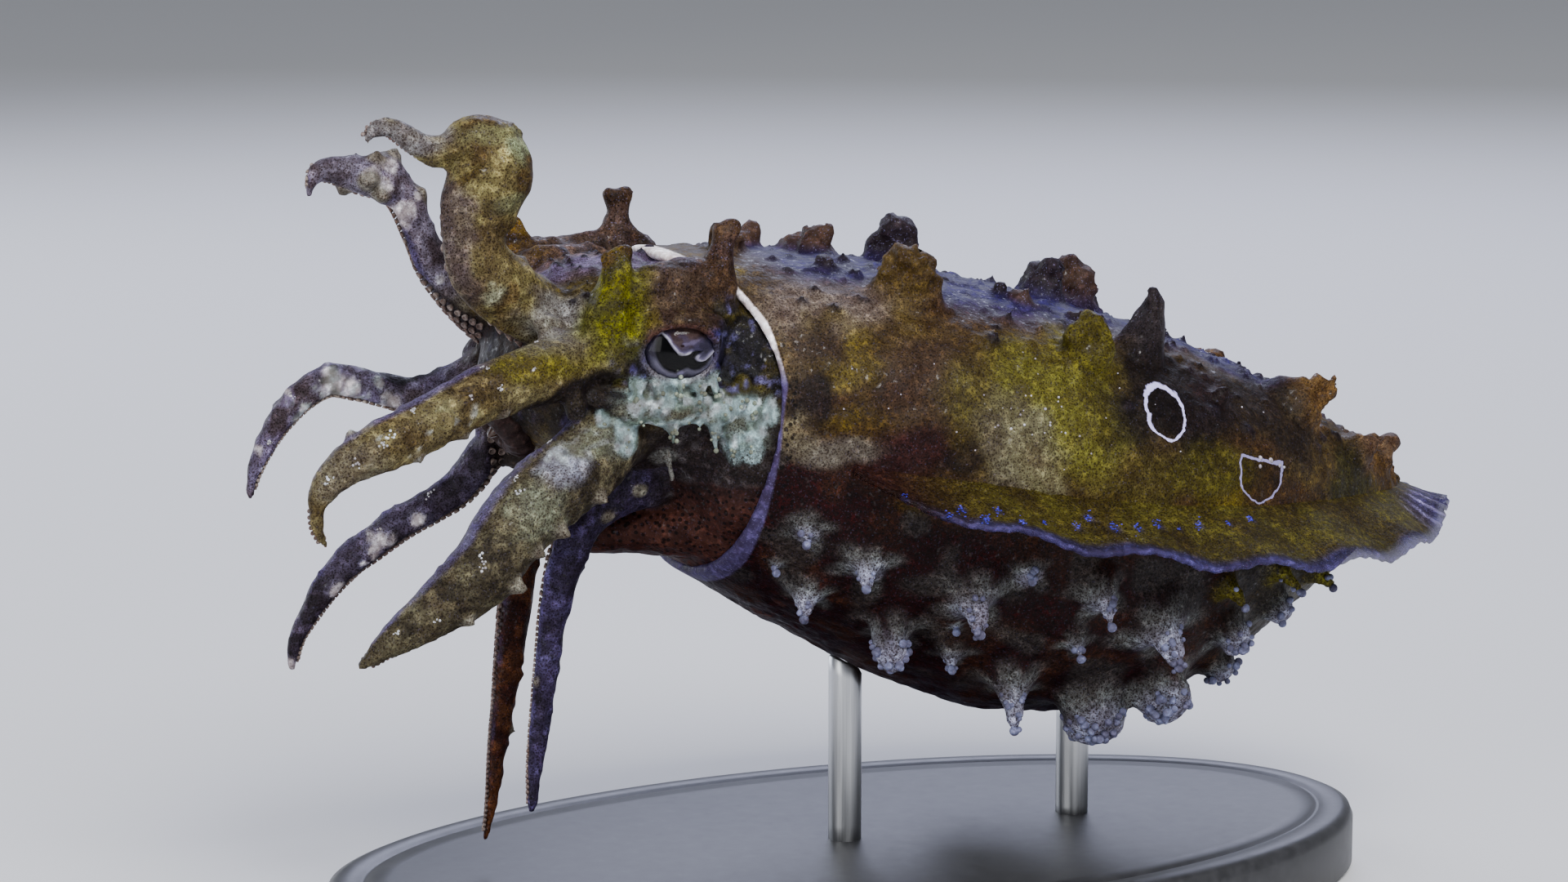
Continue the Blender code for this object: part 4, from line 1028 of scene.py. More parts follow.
# Each arm: the places that its middle line passes, its half width at each, and where its suckers face.
ARMS = {
    "arm_1_left": (
        ((-25, -2, 45.5), (-28, -3.5, 48.2), (-31, -5, 50.8), (-32.9, -5.5, 52.8), (-33.3, -5.5, 54.6),
         (-33, -5.5, 56.2), (-32.3, -5.5, 57.9), (-31.7, -5.5, 59.4), (-32, -5.5, 60.9), (-33.4, -5.5, 61.6),
         (-35.3, -5.5, 60.9), (-37.3, -5.5, 61.6), (-39.4, -5.5, 62.9), (-40.9, -5.5, 62.6),
         (-41.1, -5.5, 61.7)),
        (2.6, 2.7, 2.6, 2.4, 2.3, 2.7, 3.0, 3.1, 2.6, 1.8, 1.25, 1.0, 0.75, 0.45, 0.22),
        (-0.3, 0.93, -0.2),
    ),
    "arm_1_right": (
        ((-26.5, 2, 45), (-29, 3.5, 46.8), (-31, 4.5, 48.6), (-32.5, 5.5, 50.8), (-33.5, 6, 53.5),
         (-34.5, 6.5, 56), (-35.7, 7, 57.5), (-37.5, 7, 58), (-39.5, 7, 58.5), (-41, 7, 58.4),
         (-41.5, 7, 56.8)),
        (2.0, 1.9, 1.75, 1.6, 1.5, 1.5, 1.6, 1.5, 1.1, 0.7, 0.3),
        (-0.75, 0.5, -0.35),
    ),
    "arm_2_left": (
        ((-21.5, -4.5, 45), (-25.5, -8, 45.5), (-30, -10, 45.1), (-34.5, -11.5, 44.3), (-38, -12.5, 43.2),
         (-41, -13, 42), (-43.5, -13.5, 41.2), (-45.7, -13.5, 40.2), (-47.2, -13.5, 38.8),
         (-47.8, -13, 37.3), (-47.8, -13, 35.8), (-47, -12.5, 34.3)),
        (2.5, 2.4, 2.25, 2.0, 1.9, 1.9, 1.75, 1.4, 1.0, 0.65, 0.5, 0.28),
        (0.2, 0.88, -0.5),
    ),
    "arm_2_right": (
        ((-24, 4.5, 45), (-27, 7.8, 42.8), (-29.5, 9.3, 41.3), (-32, 10.3, 40.5), (-34, 11, 40.8),
         (-36.5, 11.5, 41.5), (-38.5, 12, 41.8), (-40.5, 12, 41), (-42.2, 12, 39.4), (-43.6, 12, 37.5),
         (-44.7, 12, 35.2), (-45, 12, 33.6)),
        (2.1, 2.0, 1.8, 1.6, 1.55, 1.5, 1.45, 1.35, 1.15, 0.9, 0.6, 0.3),
        (0.35, 0.12, -0.9),
    ),
    "arm_3_left": (
        ((-19, -4.5, 41), (-23.5, -8.5, 40), (-27.5, -10.5, 38), (-31, -11.5, 36), (-33.2, -12, 34),
         (-35.5, -12.5, 31.5), (-38, -12.5, 29.6), (-40.6, -12.5, 28), (-42.9, -12.5, 26.6),
         (-44.6, -12.5, 25.4)),
        (2.7, 2.8, 2.85, 2.75, 2.6, 2.45, 2.0, 1.5, 0.95, 0.4),
        (0.4, 0.85, -0.4),
    ),
    "arm_3_right": (
        ((-23, 4.5, 41), (-25, 7.8, 38.2), (-27, 9.3, 35.6), (-29, 10, 33.2), (-30.8, 10.5, 32),
         (-33, 11, 30.8), (-35.2, 11.5, 29.3), (-37.2, 12, 27.8), (-39, 12, 26), (-40.3, 12, 24.3),
         (-41.5, 12, 22.3), (-42, 12, 20)),
        (2.2, 2.0, 1.8, 1.6, 1.55, 1.5, 1.5, 1.4, 1.2, 1.0, 0.7, 0.35),
        (0.6, 0.12, -0.75),
    ),
    "arm_4_left": (
        ((-15, -3, 37.2), (-19, -5, 35.8), (-22, -5.5, 35.2), (-24.6, -5.5, 33.7), (-26.1, -5.5, 31.2),
         (-27.1, -5.2, 27.2), (-27.6, -5, 23.5), (-28.1, -5, 19.5), (-28.6, -5, 15.5), (-29, -5, 11.5)),
        (2.0, 2.0, 1.95, 1.8, 1.6, 1.3, 1.1, 0.95, 0.75, 0.3),
        (-0.6, 0.8, 0.0),
    ),
    "arm_4_right": (
        ((-16.5, 3, 37.5), (-19.5, 4.5, 35.8), (-22.5, 5, 34.6), (-24.8, 5, 32.2), (-26.2, 4.5, 29),
         (-27, 4, 25), (-27.5, 4, 21.5), (-28, 4, 17.5), (-28.5, 4, 14), (-29, 3.7, 10), (-29.6, 3.5, 7.2)),
        (2.0, 2.0, 1.95, 1.85, 1.75, 1.6, 1.35, 1.1, 0.85, 0.6, 0.3),
        (-0.85, 0.45, 0.0),
    ),
}


def head_point(x, angle):
    half, crown, middle, throat = between(HEAD_STATIONS, x)
    up = math.sin(angle)
    rise = crown - middle if up > 0 else middle - throat
    power = 2 / HEAD_SQUARENESS
    return Vector((x, -half * signed_power(math.cos(angle), power), middle + rise * signed_power(up, power)))


class Arm:
    """An arm as a smooth route with a width, and the side with the suckers, all along it."""

    def __init__(self, places, widths, facing):
        stops = [Vector(p) for p in places]
        self.dense = []
        runs = []
        for i in range(len(stops) - 1):
            a, b = stops[i], stops[i + 1]
            before = stops[i - 1] if i else a * 2 - b
            after = stops[i + 2] if i + 2 < len(stops) else b * 2 - a
            runs.append(len(self.dense))
            for k in range(16):
                t = k / 16
                self.dense.append(
                    (a * 2 + (b - before) * t + (before * 2 - a * 5 + b * 4 - after) * t**2
                     + (a * 3 - before - b * 3 + after) * t**3) / 2
                )
        runs.append(len(self.dense))
        self.dense.append(stops[-1])
        self.run = [0.0]
        for a, b in zip(self.dense, self.dense[1:]):
            self.run.append(self.run[-1] + (b - a).length)
        self.length = self.run[-1]
        self.widths = tuple(zip([self.run[m] for m in runs], widths))
        self.frames = []
        start = self.dense[0]
        to_axis = CROWN_CENTRE + CROWN_AXIS * (start - CROWN_CENTRE).dot(CROWN_AXIS) - start
        oral = to_axis.normalized() + CROWN_AXIS
        wish = Vector(facing)
        for i in range(len(self.dense)):
            tangent = self.dense[min(i + 1, len(self.dense) - 1)] - self.dense[max(i - 1, 0)]
            tangent.normalize()
            oral = (oral - tangent * oral.dot(tangent)).normalized()
            turned = min(1.0, max(0.0, (self.run[i] - 4.0) / 6.0))
            side = oral.lerp(wish, turned)
            self.frames.append((tangent, (side - tangent * side.dot(tangent)).normalized()))
        self.stations = [between(self.widths, s)[0] for s in self.run]

    def frame(self, s):
        """Place, tangent, side with suckers, side across, half width, and the bend at a length."""
        i = min(len(self.run) - 1, max(0, bisect.bisect_right(self.run, s) - 1))
        tangent, oral = self.frames[i]
        ahead = self.frames[min(i + 3, len(self.frames) - 1)][0]
        behind = self.frames[max(i - 3, 0)][0]
        span = self.run[min(i + 3, len(self.run) - 1)] - self.run[max(i - 3, 0)]
        bend = (ahead - behind) / max(span, 1e-6)
        return at_length(self.dense, self.run, s), tangent, oral, tangent.cross(oral), self.stations[i], bend

    def outside(self, s, turn, stretch=1.0):
        """A place on the arm; a quarter turn is the side with the suckers."""
        centre, _, oral, across, half, bend = self.frame(s)
        high = math.sin(turn)
        margin = 1 + 0.16 * math.exp(-(((high - 0.42) / 0.3) ** 2)) if high > -0.4 else 1
        side = half * math.cos(turn) * margin
        depth = half * ARM_FLATNESS * high * (ORAL_SHARE if high > 0 else 1.15)
        offset = (across * side + oral * depth) * stretch
        inward = offset.dot(bend)
        if inward > BEND_LIMIT:
            offset -= bend.normalized() * ((inward - BEND_LIMIT) / bend.length)
        return centre + offset


arms = {name: Arm(*values) for name, values in ARMS.items()}
rough = bmesh.new()
sleeve(rough, HEAD_RINGS, HEAD_SIDES, lambda ring, turn: head_point(
    HEAD_BACK - HEAD_LENGTH * ring / (HEAD_RINGS - 1), turn))

# The neck widens from the head into the mouth of the mantle, so that the collar closes round it.
NECK_SHARE = 0.945
NECK_RINGS = 24


def neck_put(ring, turn):
    x = -20.0 + 11.6 * ring / (NECK_RINGS - 1)
    from_rim = x + between(RIM_REACH, math.sin(turn))[0] - MANTLE_FRONT
    wide = mantle_point(MANTLE_FRONT + max(from_rim, 0.0), turn, NECK_SHARE)
    wide.x = x
    t = min(1.0, max(0.0, from_rim / 4.8 + 1.0))
    return head_point(x, turn).lerp(wide, t * t * (3 - 2 * t))


sleeve(rough, NECK_RINGS, HEAD_SIDES, neck_put)
for name, arm in arms.items():
    count = round(arm.length / ARM_RING_STEP)

    def arm_put(ring, turn, arm=arm, count=count):
        return arm.outside(min(arm.length * ring / (count - 1), arm.length - 1e-4), turn)

    sleeve(rough, count, 24, arm_put)
    end = arm.stations[-1] * 0.85
    ball(rough, arm.dense[-1], (end, end, end), 2)

# Webs of skin join the roots of neighbouring arms, drawn as fans of soft beads between them.
ROUND_THE_MOUTH = (
    "arm_1_left", "arm_2_left", "arm_3_left", "arm_4_left",
    "arm_4_right", "arm_3_right", "arm_2_right", "arm_1_right",
)
for name, after in zip(ROUND_THE_MOUTH, ROUND_THE_MOUTH[1:] + ROUND_THE_MOUTH[:1]):
    one, two = arms[name], arms[after]
    for s in (3.0, 4.2, 5.4, 6.4, 7.2, 8.0):
        a, b = at_length(one.dense, one.run, s), at_length(two.dense, two.run, s)
        if (a - b).length > 8.0:
            continue
        for k in range(1, 6):
            dip = 1 - abs(k / 3 - 1)
            ball(rough, a.lerp(b, k / 6) - CROWN_AXIS * dip * 0.8, (0.9, 0.9, 0.9), 1)

for side in (-1, 1):
    ball(rough, on_side(ORBIT_CENTRE, side), ORBIT_RADII, 4)

# The lids are a soft ring round each eye: a heavy brow fold above, a thin rim below.


def eye_frame(side):
    """The eye's middle, and its ways forward and out, on one side."""
    turn = math.radians(EYE_TURN)
    out = Vector((-math.sin(turn), math.cos(turn) * side, 0.0))
    return Vector(on_side(EYE_CENTRE, side)), Vector((-out.y * side, out.x * side, 0)), out


def eye_view(points, side):
    """How far each point lies forward, up and out from the middle of an eye."""
    middle, forward, out = eye_frame(side)
    offset = points - np.array(middle)
    return offset @ np.array(forward), offset[:, 2], offset @ np.array(out)


for side in (-1, 1):
    middle, forward, out = eye_frame(side)

    def lid_put(ring, turn, middle=middle, forward=forward, out=out):
        around = math.tau * ring / (LID_RINGS - 1)
        high = math.sin(around)
        thick = 0.34 + 0.3 * max(0.0, high) ** 2 + 0.06 * math.sin(3 * around)
        u = (OPENING[0] + thick * (0.9 + math.cos(turn))) * math.cos(around)
        v = (OPENING[1] + thick * (0.9 + math.cos(turn))) * high - 0.15 * math.cos(around)
        d = 3.52 + 0.35 * max(0.0, high) - 0.055 * u * u + thick * math.sin(turn)
        return middle + forward * u + Vector((0, 0, v)) + out * d

    sleeve(rough, LID_RINGS, 10, lid_put)
    stops = []
    for k in range(7):
        a = math.radians(22 + 22 * k)
        u, v = 3.9 * math.cos(a) + 0.2 * math.sin(5 * a), 2.7 * math.sin(a) + 0.12 * math.sin(7 * a)
        place = middle + forward * u + Vector((0, 0, v)) + out * (3.0 - 0.05 * u * u)
        stops.append((*place, 0.5 + 0.14 * math.sin(a) + 0.07 * math.sin(9 * a)))
    strand(rough, stops, 34)

# Papillae of the head as ropes, left (-1) and right (1): a tint, then stops with a place and a radius each.
# The left side is the one in the photograph; those of the right side are seen there over the crown.
STALKS = {
    -1: (
        ("green", (-24.3, -9.2, 46.0, 2.3), (-24.4, -9.8, 48.4, 2.0), (-24.1, -9.8, 50.4, 1.65),
         (-23.8, -9.7, 52.0, 1.25), (-23.6, -9.6, 52.8, 1.0)),
        ("amber", (-23.4, -9.6, 52.8, 0.7), (-23.1, -9.6, 53.5, 0.5)),
        ("amber", (-24.1, -9.6, 52.6, 0.7), (-24.6, -9.6, 53.2, 0.45)),
        ("brow", (-22.8, -9.8, 50.4, 1.5), (-20.6, -9.6, 51.3, 1.5), (-18.6, -9.5, 51.4, 1.6),
         (-16.4, -9.4, 50.9, 1.7)),
        ("rust", (-16.0, -9.3, 49.0, 2.0), (-15.7, -9.2, 51.0, 1.5), (-15.2, -9.1, 52.8, 1.15),
         (-14.9, -9.0, 54.2, 1.0)),
        ("rust", (-15.2, -9.0, 54.0, 0.8), (-15.5, -9.0, 54.7, 0.55)),
        ("rust", (-14.6, -9.0, 54.2, 0.8), (-14.4, -9.0, 54.9, 0.6)),
    ),
    1: (
        ("amber", (-25.2, 8.4, 47.8, 2.2), (-25.1, 8.2, 50.6, 1.7), (-24.9, 8.0, 52.6, 1.0),
         (-24.9, 8.0, 53.8, 0.55)),
        ("brow", (-26.4, 7.4, 50.6, 1.4), (-24.9, 7.8, 51.4, 1.4), (-22.6, 8.0, 51.3, 1.4),
         (-20.2, 8.1, 51.2, 1.4), (-17.8, 8.1, 51.6, 1.6), (-14.8, 8.0, 51.0, 1.7)),
        ("ridge", (-27.8, 3.8, 49.0, 1.5), (-25.4, 4.8, 50.5, 1.7), (-22.4, 5.2, 50.8, 1.7),
         (-19.4, 5.4, 50.6, 1.6)),
        ("rust", (-16.6, 8.0, 51.4, 1.9), (-16.5, 8.2, 52.6, 1.15), (-16.4, 8.3, 54.0, 0.85),
         (-16.35, 8.3, 55.2, 0.9)),
        ("rust", (-16.5, 8.3, 54.8, 0.8), (-16.95, 8.3, 55.5, 0.68)),
        ("rust", (-16.2, 8.3, 54.8, 0.8), (-15.75, 8.3, 55.5, 0.7)),
    ),
}
CHEEK_ROPES = (
    ((-25.6, 10.0, 42.9, 0.9), (-23.4, 11.0, 42.2, 1.1), (-20.4, 11.7, 42.0, 1.2), (-17.4, 11.7, 41.8, 1.1),
     (-15.4, 11.7, 41.7, 1.1), (-13.9, 11.6, 42.4, 0.8)),
    ((-26.8, 9.6, 44.6, 0.8), (-27.6, 10.4, 43.6, 0.9), (-27.4, 10.8, 42.2, 0.8)),
)
CHEEK_POINTS = (
    (-25.4, 10.9, 41.0, 0.35), (-23.9, 11.6, 39.9, 0.6), (-22.8, 12.0, 41.2, 0.3),
    (-21.7, 12.2, 41.0, 0.35), (-20.6, 12.6, 39.8, 0.5), (-19.5, 12.6, 41.0, 0.35),
    (-18.5, 12.7, 40.6, 0.35), (-17.3, 12.8, 39.1, 0.5), (-15.9, 12.9, 38.0, 0.55),
    (-14.5, 12.8, 38.7, 0.5), (-12.9, 12.6, 41.4, 0.5), (-13.9, 12.7, 40.2, 0.35),
    (-16.6, 13.2, 41.3, 0.45), (-18.6, 13.2, 42.3, 0.45), (-21.6, 12.7, 42.4, 0.45),
    (-15.2, 13.2, 42.0, 0.5), (-17.4, 13.1, 42.9, 0.4), (-20.2, 13.0, 43.0, 0.45),
    (-23.2, 12.2, 42.6, 0.4), (-14.4, 13.0, 41.0, 0.35),
)
TINTS.update(
    ridge=(116, 96, 80), green=(132, 134, 40), amber=(118, 94, 42), brow=(98, 80, 66), cheek=(190, 218, 222),
    stalk=(160, 164, 160), bump=(160, 158, 144),
)
HEAD_PAPILLAE = 54
head_bumps = []
draw = random.Random(5)
head_marks = []
for side in (-1, 1):
    for tint, *stops in STALKS[side]:
        strand(rough, stops, 12)
        head_marks.append((Vector(stops[0][:3]), Vector(stops[-1][:3]), max(s[3] for s in stops), tint))
    for rope in CHEEK_ROPES:
        strand(rough, [(x, y * side, z, r) for x, y, z, r in rope], 40)
    for x, y, z, size in CHEEK_POINTS:
        root = Vector((x + 0.3, (y - 1.0) * side, z + 1.9))
        tip = Vector((x, y * side, z))
        strand(rough, ((*root, size * 1.3), (*root.lerp(tip, 0.5), size * 0.8), (*tip, size * 0.5)), 9)
        head_marks.append((root, tip, size * 1.4, "cheek"))
        for _ in range(7):
            around = Vector((draw.uniform(-1, 1), side * draw.uniform(0, 1), draw.uniform(-1, 1)))
            middle = root.lerp(tip, draw.uniform(0.1, 1.0)) + around.normalized() * size * 0.7
            head_bumps.append((middle, draw.uniform(0.1, 0.2)))
    stalk = (
        (-19.9, 8.6 * side, 38.6, 0.7), (-19.9, 9.9 * side, 38.0, 0.35), (-19.8, 10.4 * side, 36.7, 0.26),
    )
    strand(rough, stalk, 12)
    head_marks.append((Vector(stalk[0][:3]), Vector(stalk[2][:3]), 0.8, "stalk"))
placed = 0
while placed < HEAD_PAPILLAE:
    x, up = draw.uniform(-27.5, -13.5), draw.uniform(42, 138)
    foot = head_point(x, math.radians(up))
    if min((foot - m[0]).length - m[2] for m in head_marks) < 0.7:
        continue
    way = Vector((0, foot.y * 0.5, foot.z - 44)).normalized()
    radius = draw.uniform(0.24, 0.46)
    tip = papilla(rough, foot, way, Vector(), radius, radius * 1.8, CONE, draw, 8)
    head_marks.append((foot, tip, radius, "small"))
    placed += 1

# The funnel is the soft tube under the throat that the animal swims with, orange-brown with dark dots.
FUNNEL_FRONT = -23.2
FUNNEL_BACK = -8.8
FUNNEL_STATIONS = (
    (-8.8, 10.4, 32.3, 3.5),
    (-13.0, 9.8, 32.3, 3.7),
    (-16.0, 8.2, 32.2, 3.3),
    (-19.5, 5.4, 32.0, 2.6),
    (-23.2, 3.0, 31.6, 2.0),
)
FUNNEL_WALL = 0.75
FUNNEL_RINGS = 20
THROAT_BALLS = 14


def funnel_put(ring, turn):
    x = FUNNEL_BACK + (FUNNEL_FRONT - FUNNEL_BACK) * min(ring, FUNNEL_RINGS - 1) / (FUNNEL_RINGS - 1)
    wide, z, tall = between(FUNNEL_STATIONS, x)
    lip = ring - FUNNEL_RINGS
    inset = (0.5, 1.0, 1.0)[lip] * FUNNEL_WALL if lip >= 0 else 0.0
    x += (-0.35, 0.0, 4.0)[lip] if lip >= 0 else 0.0
    return Vector((x, (wide - inset) * math.cos(turn), z + (tall - inset) * math.sin(turn)))


sleeve(rough, FUNNEL_RINGS + 3, 48, funnel_put)
for k in range(THROAT_BALLS):
    t = k / (THROAT_BALLS - 1)
    ball(rough, (-10.0 - 9.0 * t, 0, 35.6 - 0.4 * t), (1.6, 8.6 - 4.6 * t, 2.2), 3)

# Knobs and small bumps along the arms: length from the root, degrees round, radius, height.
ARM_BUMPS = {
    "arm_1_right": (
        (12.0, 200, 0.6, 0.5), (14.6, 260, 0.9, 0.7), (17.0, 230, 1.0, 1.2), (18.6, 320, 0.8, 1.1),
        (19.8, 60, 0.7, 0.9), (16.2, 20, 0.7, 0.9), (18.0, 250, 0.7, 0.9),
    ),
    "arm_2_left": (
        (15.0, 350, 0.5, 0.6), (18.5, 10, 0.5, 0.6), (22.5, 355, 0.5, 0.7), (26.0, 200, 0.5, 0.7),
    ),
    "arm_3_left": (
        (11.6, 345, 0.7, 1.1), (15.6, 350, 0.75, 1.2), (18.2, 345, 0.6, 0.9), (21.0, 350, 0.7, 1.1),
        (24.6, 350, 0.55, 0.9),
    ),
    "arm_1_left": (
        (5.5, 230, 0.8, 0.6), (8.5, 210, 0.6, 0.5),
    ),
    "arm_4_left": (
        (24.0, 0, 0.4, 0.6), (24.0, 180, 0.4, 0.6), (10.0, 270, 0.5, 0.6), (7.0, 250, 0.6, 0.6),
    ),
    "arm_4_right": (
        (27.5, 270, 0.4, 0.5),
    ),
}
KNOBS_EACH = 16
for name, arm in arms.items():
    rows = list(ARM_BUMPS.get(name, ()))
    for _ in range(KNOBS_EACH):
        s, round_it = draw.uniform(4.0, arm.length * 0.85), draw.uniform(200, 340)
        rows.append((s, round_it, draw.uniform(0.2, 0.4), 0.35))
    for s, round_it, radius, height in rows:
        foot = arm.outside(min(s, arm.length - 0.5), math.radians(round_it))
        way = (foot - at_length(arm.dense, arm.run, s)).normalized()
        tip = papilla(rough, foot, way, Vector(), radius, height, CONE, draw, 8)
        if height > 0.4:
            head_marks.append((foot, tip, radius, "bump"))
head_mesh = skinned(rough, HEAD_GRAIN, 5)
points, normals = points_of(head_mesh), normals_of(head_mesh)
relief = 0.2 * (mottle(points, 1.8, 24) - 0.5) + 0.2 * (mottle(points, 0.75, 25) - 0.5)
rugged = ease(points[:, 2], 47.5, 50) * ease(points[:, 0], -28, -26)
hanging = ease(np.abs(points[:, 1]), 9.0, 10.5) * ease(points[:, 2], 45, 44) * ease(points[:, 2], 38.5, 39.5)
relief += 0.6 * (mottle(points, 1.1, 26) - 0.5) * np.maximum(rugged, hanging * ease(points[:, 0], -27, -25))
points += normals * relief[:, None]
for side in (-1, 1):
    u, v, d = eye_view(points, side)
    inside = ((u / OPENING[0]) ** 2 + (v / OPENING[1]) ** 2 < 1.15) & (d > 0)
    floor = np.sqrt(np.maximum(0.0, EYE_RADIUS**2 - u**2 - v**2)) - 0.5
    floor += ease(np.hypot(u / OPENING[0], v / OPENING[1]), 0.96, 1.06) * 0.7
    points -= np.where(inside, np.maximum(0.0, d - floor), 0.0)[:, None] * np.array(eye_frame(side)[2])
move_to(head_mesh, points)


def along_arms(points):
    """For each point how far out it is, the nearest arm, the length along, and ways to suckers and out."""
    best = np.full(len(points), 1e9)
    which = np.full(len(points), -1)
    length, facing = np.zeros((2, len(points)))
    outward = np.zeros((len(points), 3))
    for index, arm in enumerate(arms.values()):
        line, runs = np.array(arm.dense[::2]), np.array(arm.run[::2])
        halves = np.array(arm.stations[::2])
        orals = np.array([f[1] for f in arm.frames[::2]])
        low, high = line.min(0) - 5, line.max(0) + 5
        ids = np.nonzero(((points > low) & (points < high)).all(axis=1))[0]
        square = ((points[ids, None, :] - line[None, :, :]) ** 2).sum(axis=2)
        j = square.argmin(axis=1)
        away = np.sqrt(square[np.arange(len(ids)), j]) / halves[j]
        better = away < best[ids]
        rows, cols = ids[better], j[better]
        best[rows], which[rows], length[rows] = away[better], index, runs[cols]
        offset = (points[rows] - line[cols]) / halves[cols][:, None]
        facing[rows] = (offset * orals[cols]).sum(axis=1)
        outward[rows] = offset
    return best, which, length, facing, outward


# Each arm's look: outer tint, blotches, the side with the suckers, the way its painted violet rim light
# faces.
ARM_LOOKS = {
    "arm_1_left": ((150, 142, 98), (112, 94, 62), (98, 86, 70), (-0.9, -0.3, 0.3), 0.2),
    "arm_1_right": ((140, 134, 154), (98, 84, 90), (156, 148, 168), (-0.9, -0.4, -0.3), 0.8),
    "arm_2_left": ((142, 134, 98), (116, 102, 68), (76, 64, 50), (-0.3, 0.1, 0.95), 1.0),
    "arm_2_right": ((134, 126, 160), (98, 86, 92), (96, 84, 84), (-0.3, 0.1, 0.95), 0.8),
    "arm_3_left": ((114, 110, 88), (72, 66, 52), (70, 60, 48), (-0.8, 0.1, 0.6), 1.0),
    "arm_3_right": ((94, 86, 110), (62, 54, 66), (110, 102, 88), (-0.6, 0.1, 0.8), 0.6),
    "arm_4_left": ((86, 78, 120), (58, 50, 74), (90, 80, 110), (-0.95, -0.15, 0.0), 1.0),
    "arm_4_right": ((98, 62, 40), (62, 30, 24), (84, 66, 84), (-0.9, -0.4, 0.0), 0.5),
}
# White patches of the right arms, each a place and a radius, then clusters of glints in the same way.
WHITE_SPOTS = (
    (-35.0, 5.4, 55.4, 1.0), (-35.6, 5.4, 58.8, 0.7), (-37.1, 5.5, 58.1, 0.8), (-36.2, 5.4, 57.6, 0.6),
    (-33.6, 5.2, 56.5, 0.35), (-32.6, 5.0, 50.4, 0.35), (-38.6, 10.5, 42.0, 1.15),
    (-37.3, 10.5, 41.5, 0.8), (-34.4, 10.4, 40.4, 0.9), (-41.0, 10.6, 40.2, 0.4), (-41.4, 10.6, 39.2, 0.4),
    (-42.1, 10.7, 41.4, 0.3), (-38.8, 10.5, 43.6, 0.3), (-44.4, 11.2, 37.2, 0.35),
    (-44.0, 11.2, 35.6, 0.3), (-35.3, 10.4, 41.9, 0.35), (-35.4, 10.0, 29.7, 0.8),
    (-35.9, 10.0, 28.8, 0.5), (-36.2, 10.0, 31.0, 0.35), (-32.6, 9.6, 31.2, 0.5), (-38.8, 10.8, 26.0, 0.5),
    (-36.6, 10.2, 28.0, 0.25), (-33.4, 9.6, 32.6, 0.3), (-42.1, 12.0, 20.2, 0.5),
)
GLINTS = (
    (-43.0, -15.0, 42.4, 0.32), (-43.6, -15.1, 41.8, 0.22), (-45.4, -15.0, 40.4, 0.26),
    (-47.4, -14.4, 39.4, 0.25), (-33.4, -14.4, 38.4, 0.24), (-36.2, -15.0, 32.6, 0.2),
    (-39.6, -14.8, 28.6, 0.24), (-36.6, -15.0, 33.4, 0.14), (-42.8, -14.2, 28.2, 0.2),
    (-31.0, -13.2, 46.4, 0.16), (-34.0, -13.8, 45.0, 0.2), (-36.4, -14.2, 44.8, 0.14),
    (-33.1, -12.4, 38.8, 0.26), (-34.8, -12.0, 46.1, 0.24), (-29.8, -10.0, 41.0, 0.2),
    (-41.0, -14.0, 44.0, 0.22), (-36.2, 10.0, 30.9, 0.22), (-31.8, 9.5, 33.2, 0.24),
    (-42.0, 11.0, 41.3, 0.22), (-43.7, 11.0, 37.6, 0.2), (-25.4, -8.2, 36.6, 0.3),
    (-27.4, -7.6, 34.9, 0.26), (-26.0, -7.4, 34.6, 0.24), (-30.4, -9.4, 48.8, 0.16),
)
# Patches of the head, alike on both sides: middle, radii, tint and strength.
HEAD_PATCHES = (
    ((-25.8, 6.0, 50.9), (3.4, 3, 1.6), (108, 96, 44), 0.8),
    ((-24.6, 10.2, 47.6), (1.7, 3, 3.6), (130, 136, 40), 0.9),
    ((-24.6, 11.0, 46.6), (1.6, 3, 0.9), (150, 164, 92), 0.7),
    ((-27.4, 9.6, 44.4), (2.6, 3, 2.4), (58, 50, 34), 0.85),
    ((-29.5, 8.0, 49.4), (1.6, 3, 1.6), (62, 48, 36), 0.8),
    ((-18.7, 10.5, 51.0), (4.4, 3, 1.6), (82, 66, 60), 0.85),
    ((-19.6, 11.0, 49.8), (3.6, 3, 0.9), (112, 92, 40), 0.7),
    ((-19.2, 12.4, 49.2), (2.4, 3, 0.45), (158, 152, 142), 0.6),
    ((-13.6, 12.0, 45.2), (2.6, 3, 6.0), (46, 40, 28), 0.92),
    ((-15.4, 11.5, 48.6), (2.2, 3, 2.2), (56, 48, 32), 0.75),
    ((-22.9, 11.8, 46.8), (1.4, 3, 2.3), (34, 30, 44), 0.9),
    ((-15.7, 12.0, 45.6), (1.7, 3, 3.2), (34, 30, 46), 0.9),
    ((-20.0, 13.0, 44.1), (3.2, 2, 0.9), (140, 144, 150), 0.7),
    ((-20.4, 12.8, 43.2), (3.5, 3, 1.1), (170, 186, 176), 0.9),
    ((-16.2, 12.5, 42.3), (1.8, 3, 0.95), TINTS["cheek"], 0.9),
    ((-24.2, 11.5, 42.6), (1.0, 3, 1.0), TINTS["cheek"], 0.85),
    ((-27.2, 12.4, 40.4), (3.0, 3, 1.3), (132, 144, 112), 0.8),
)
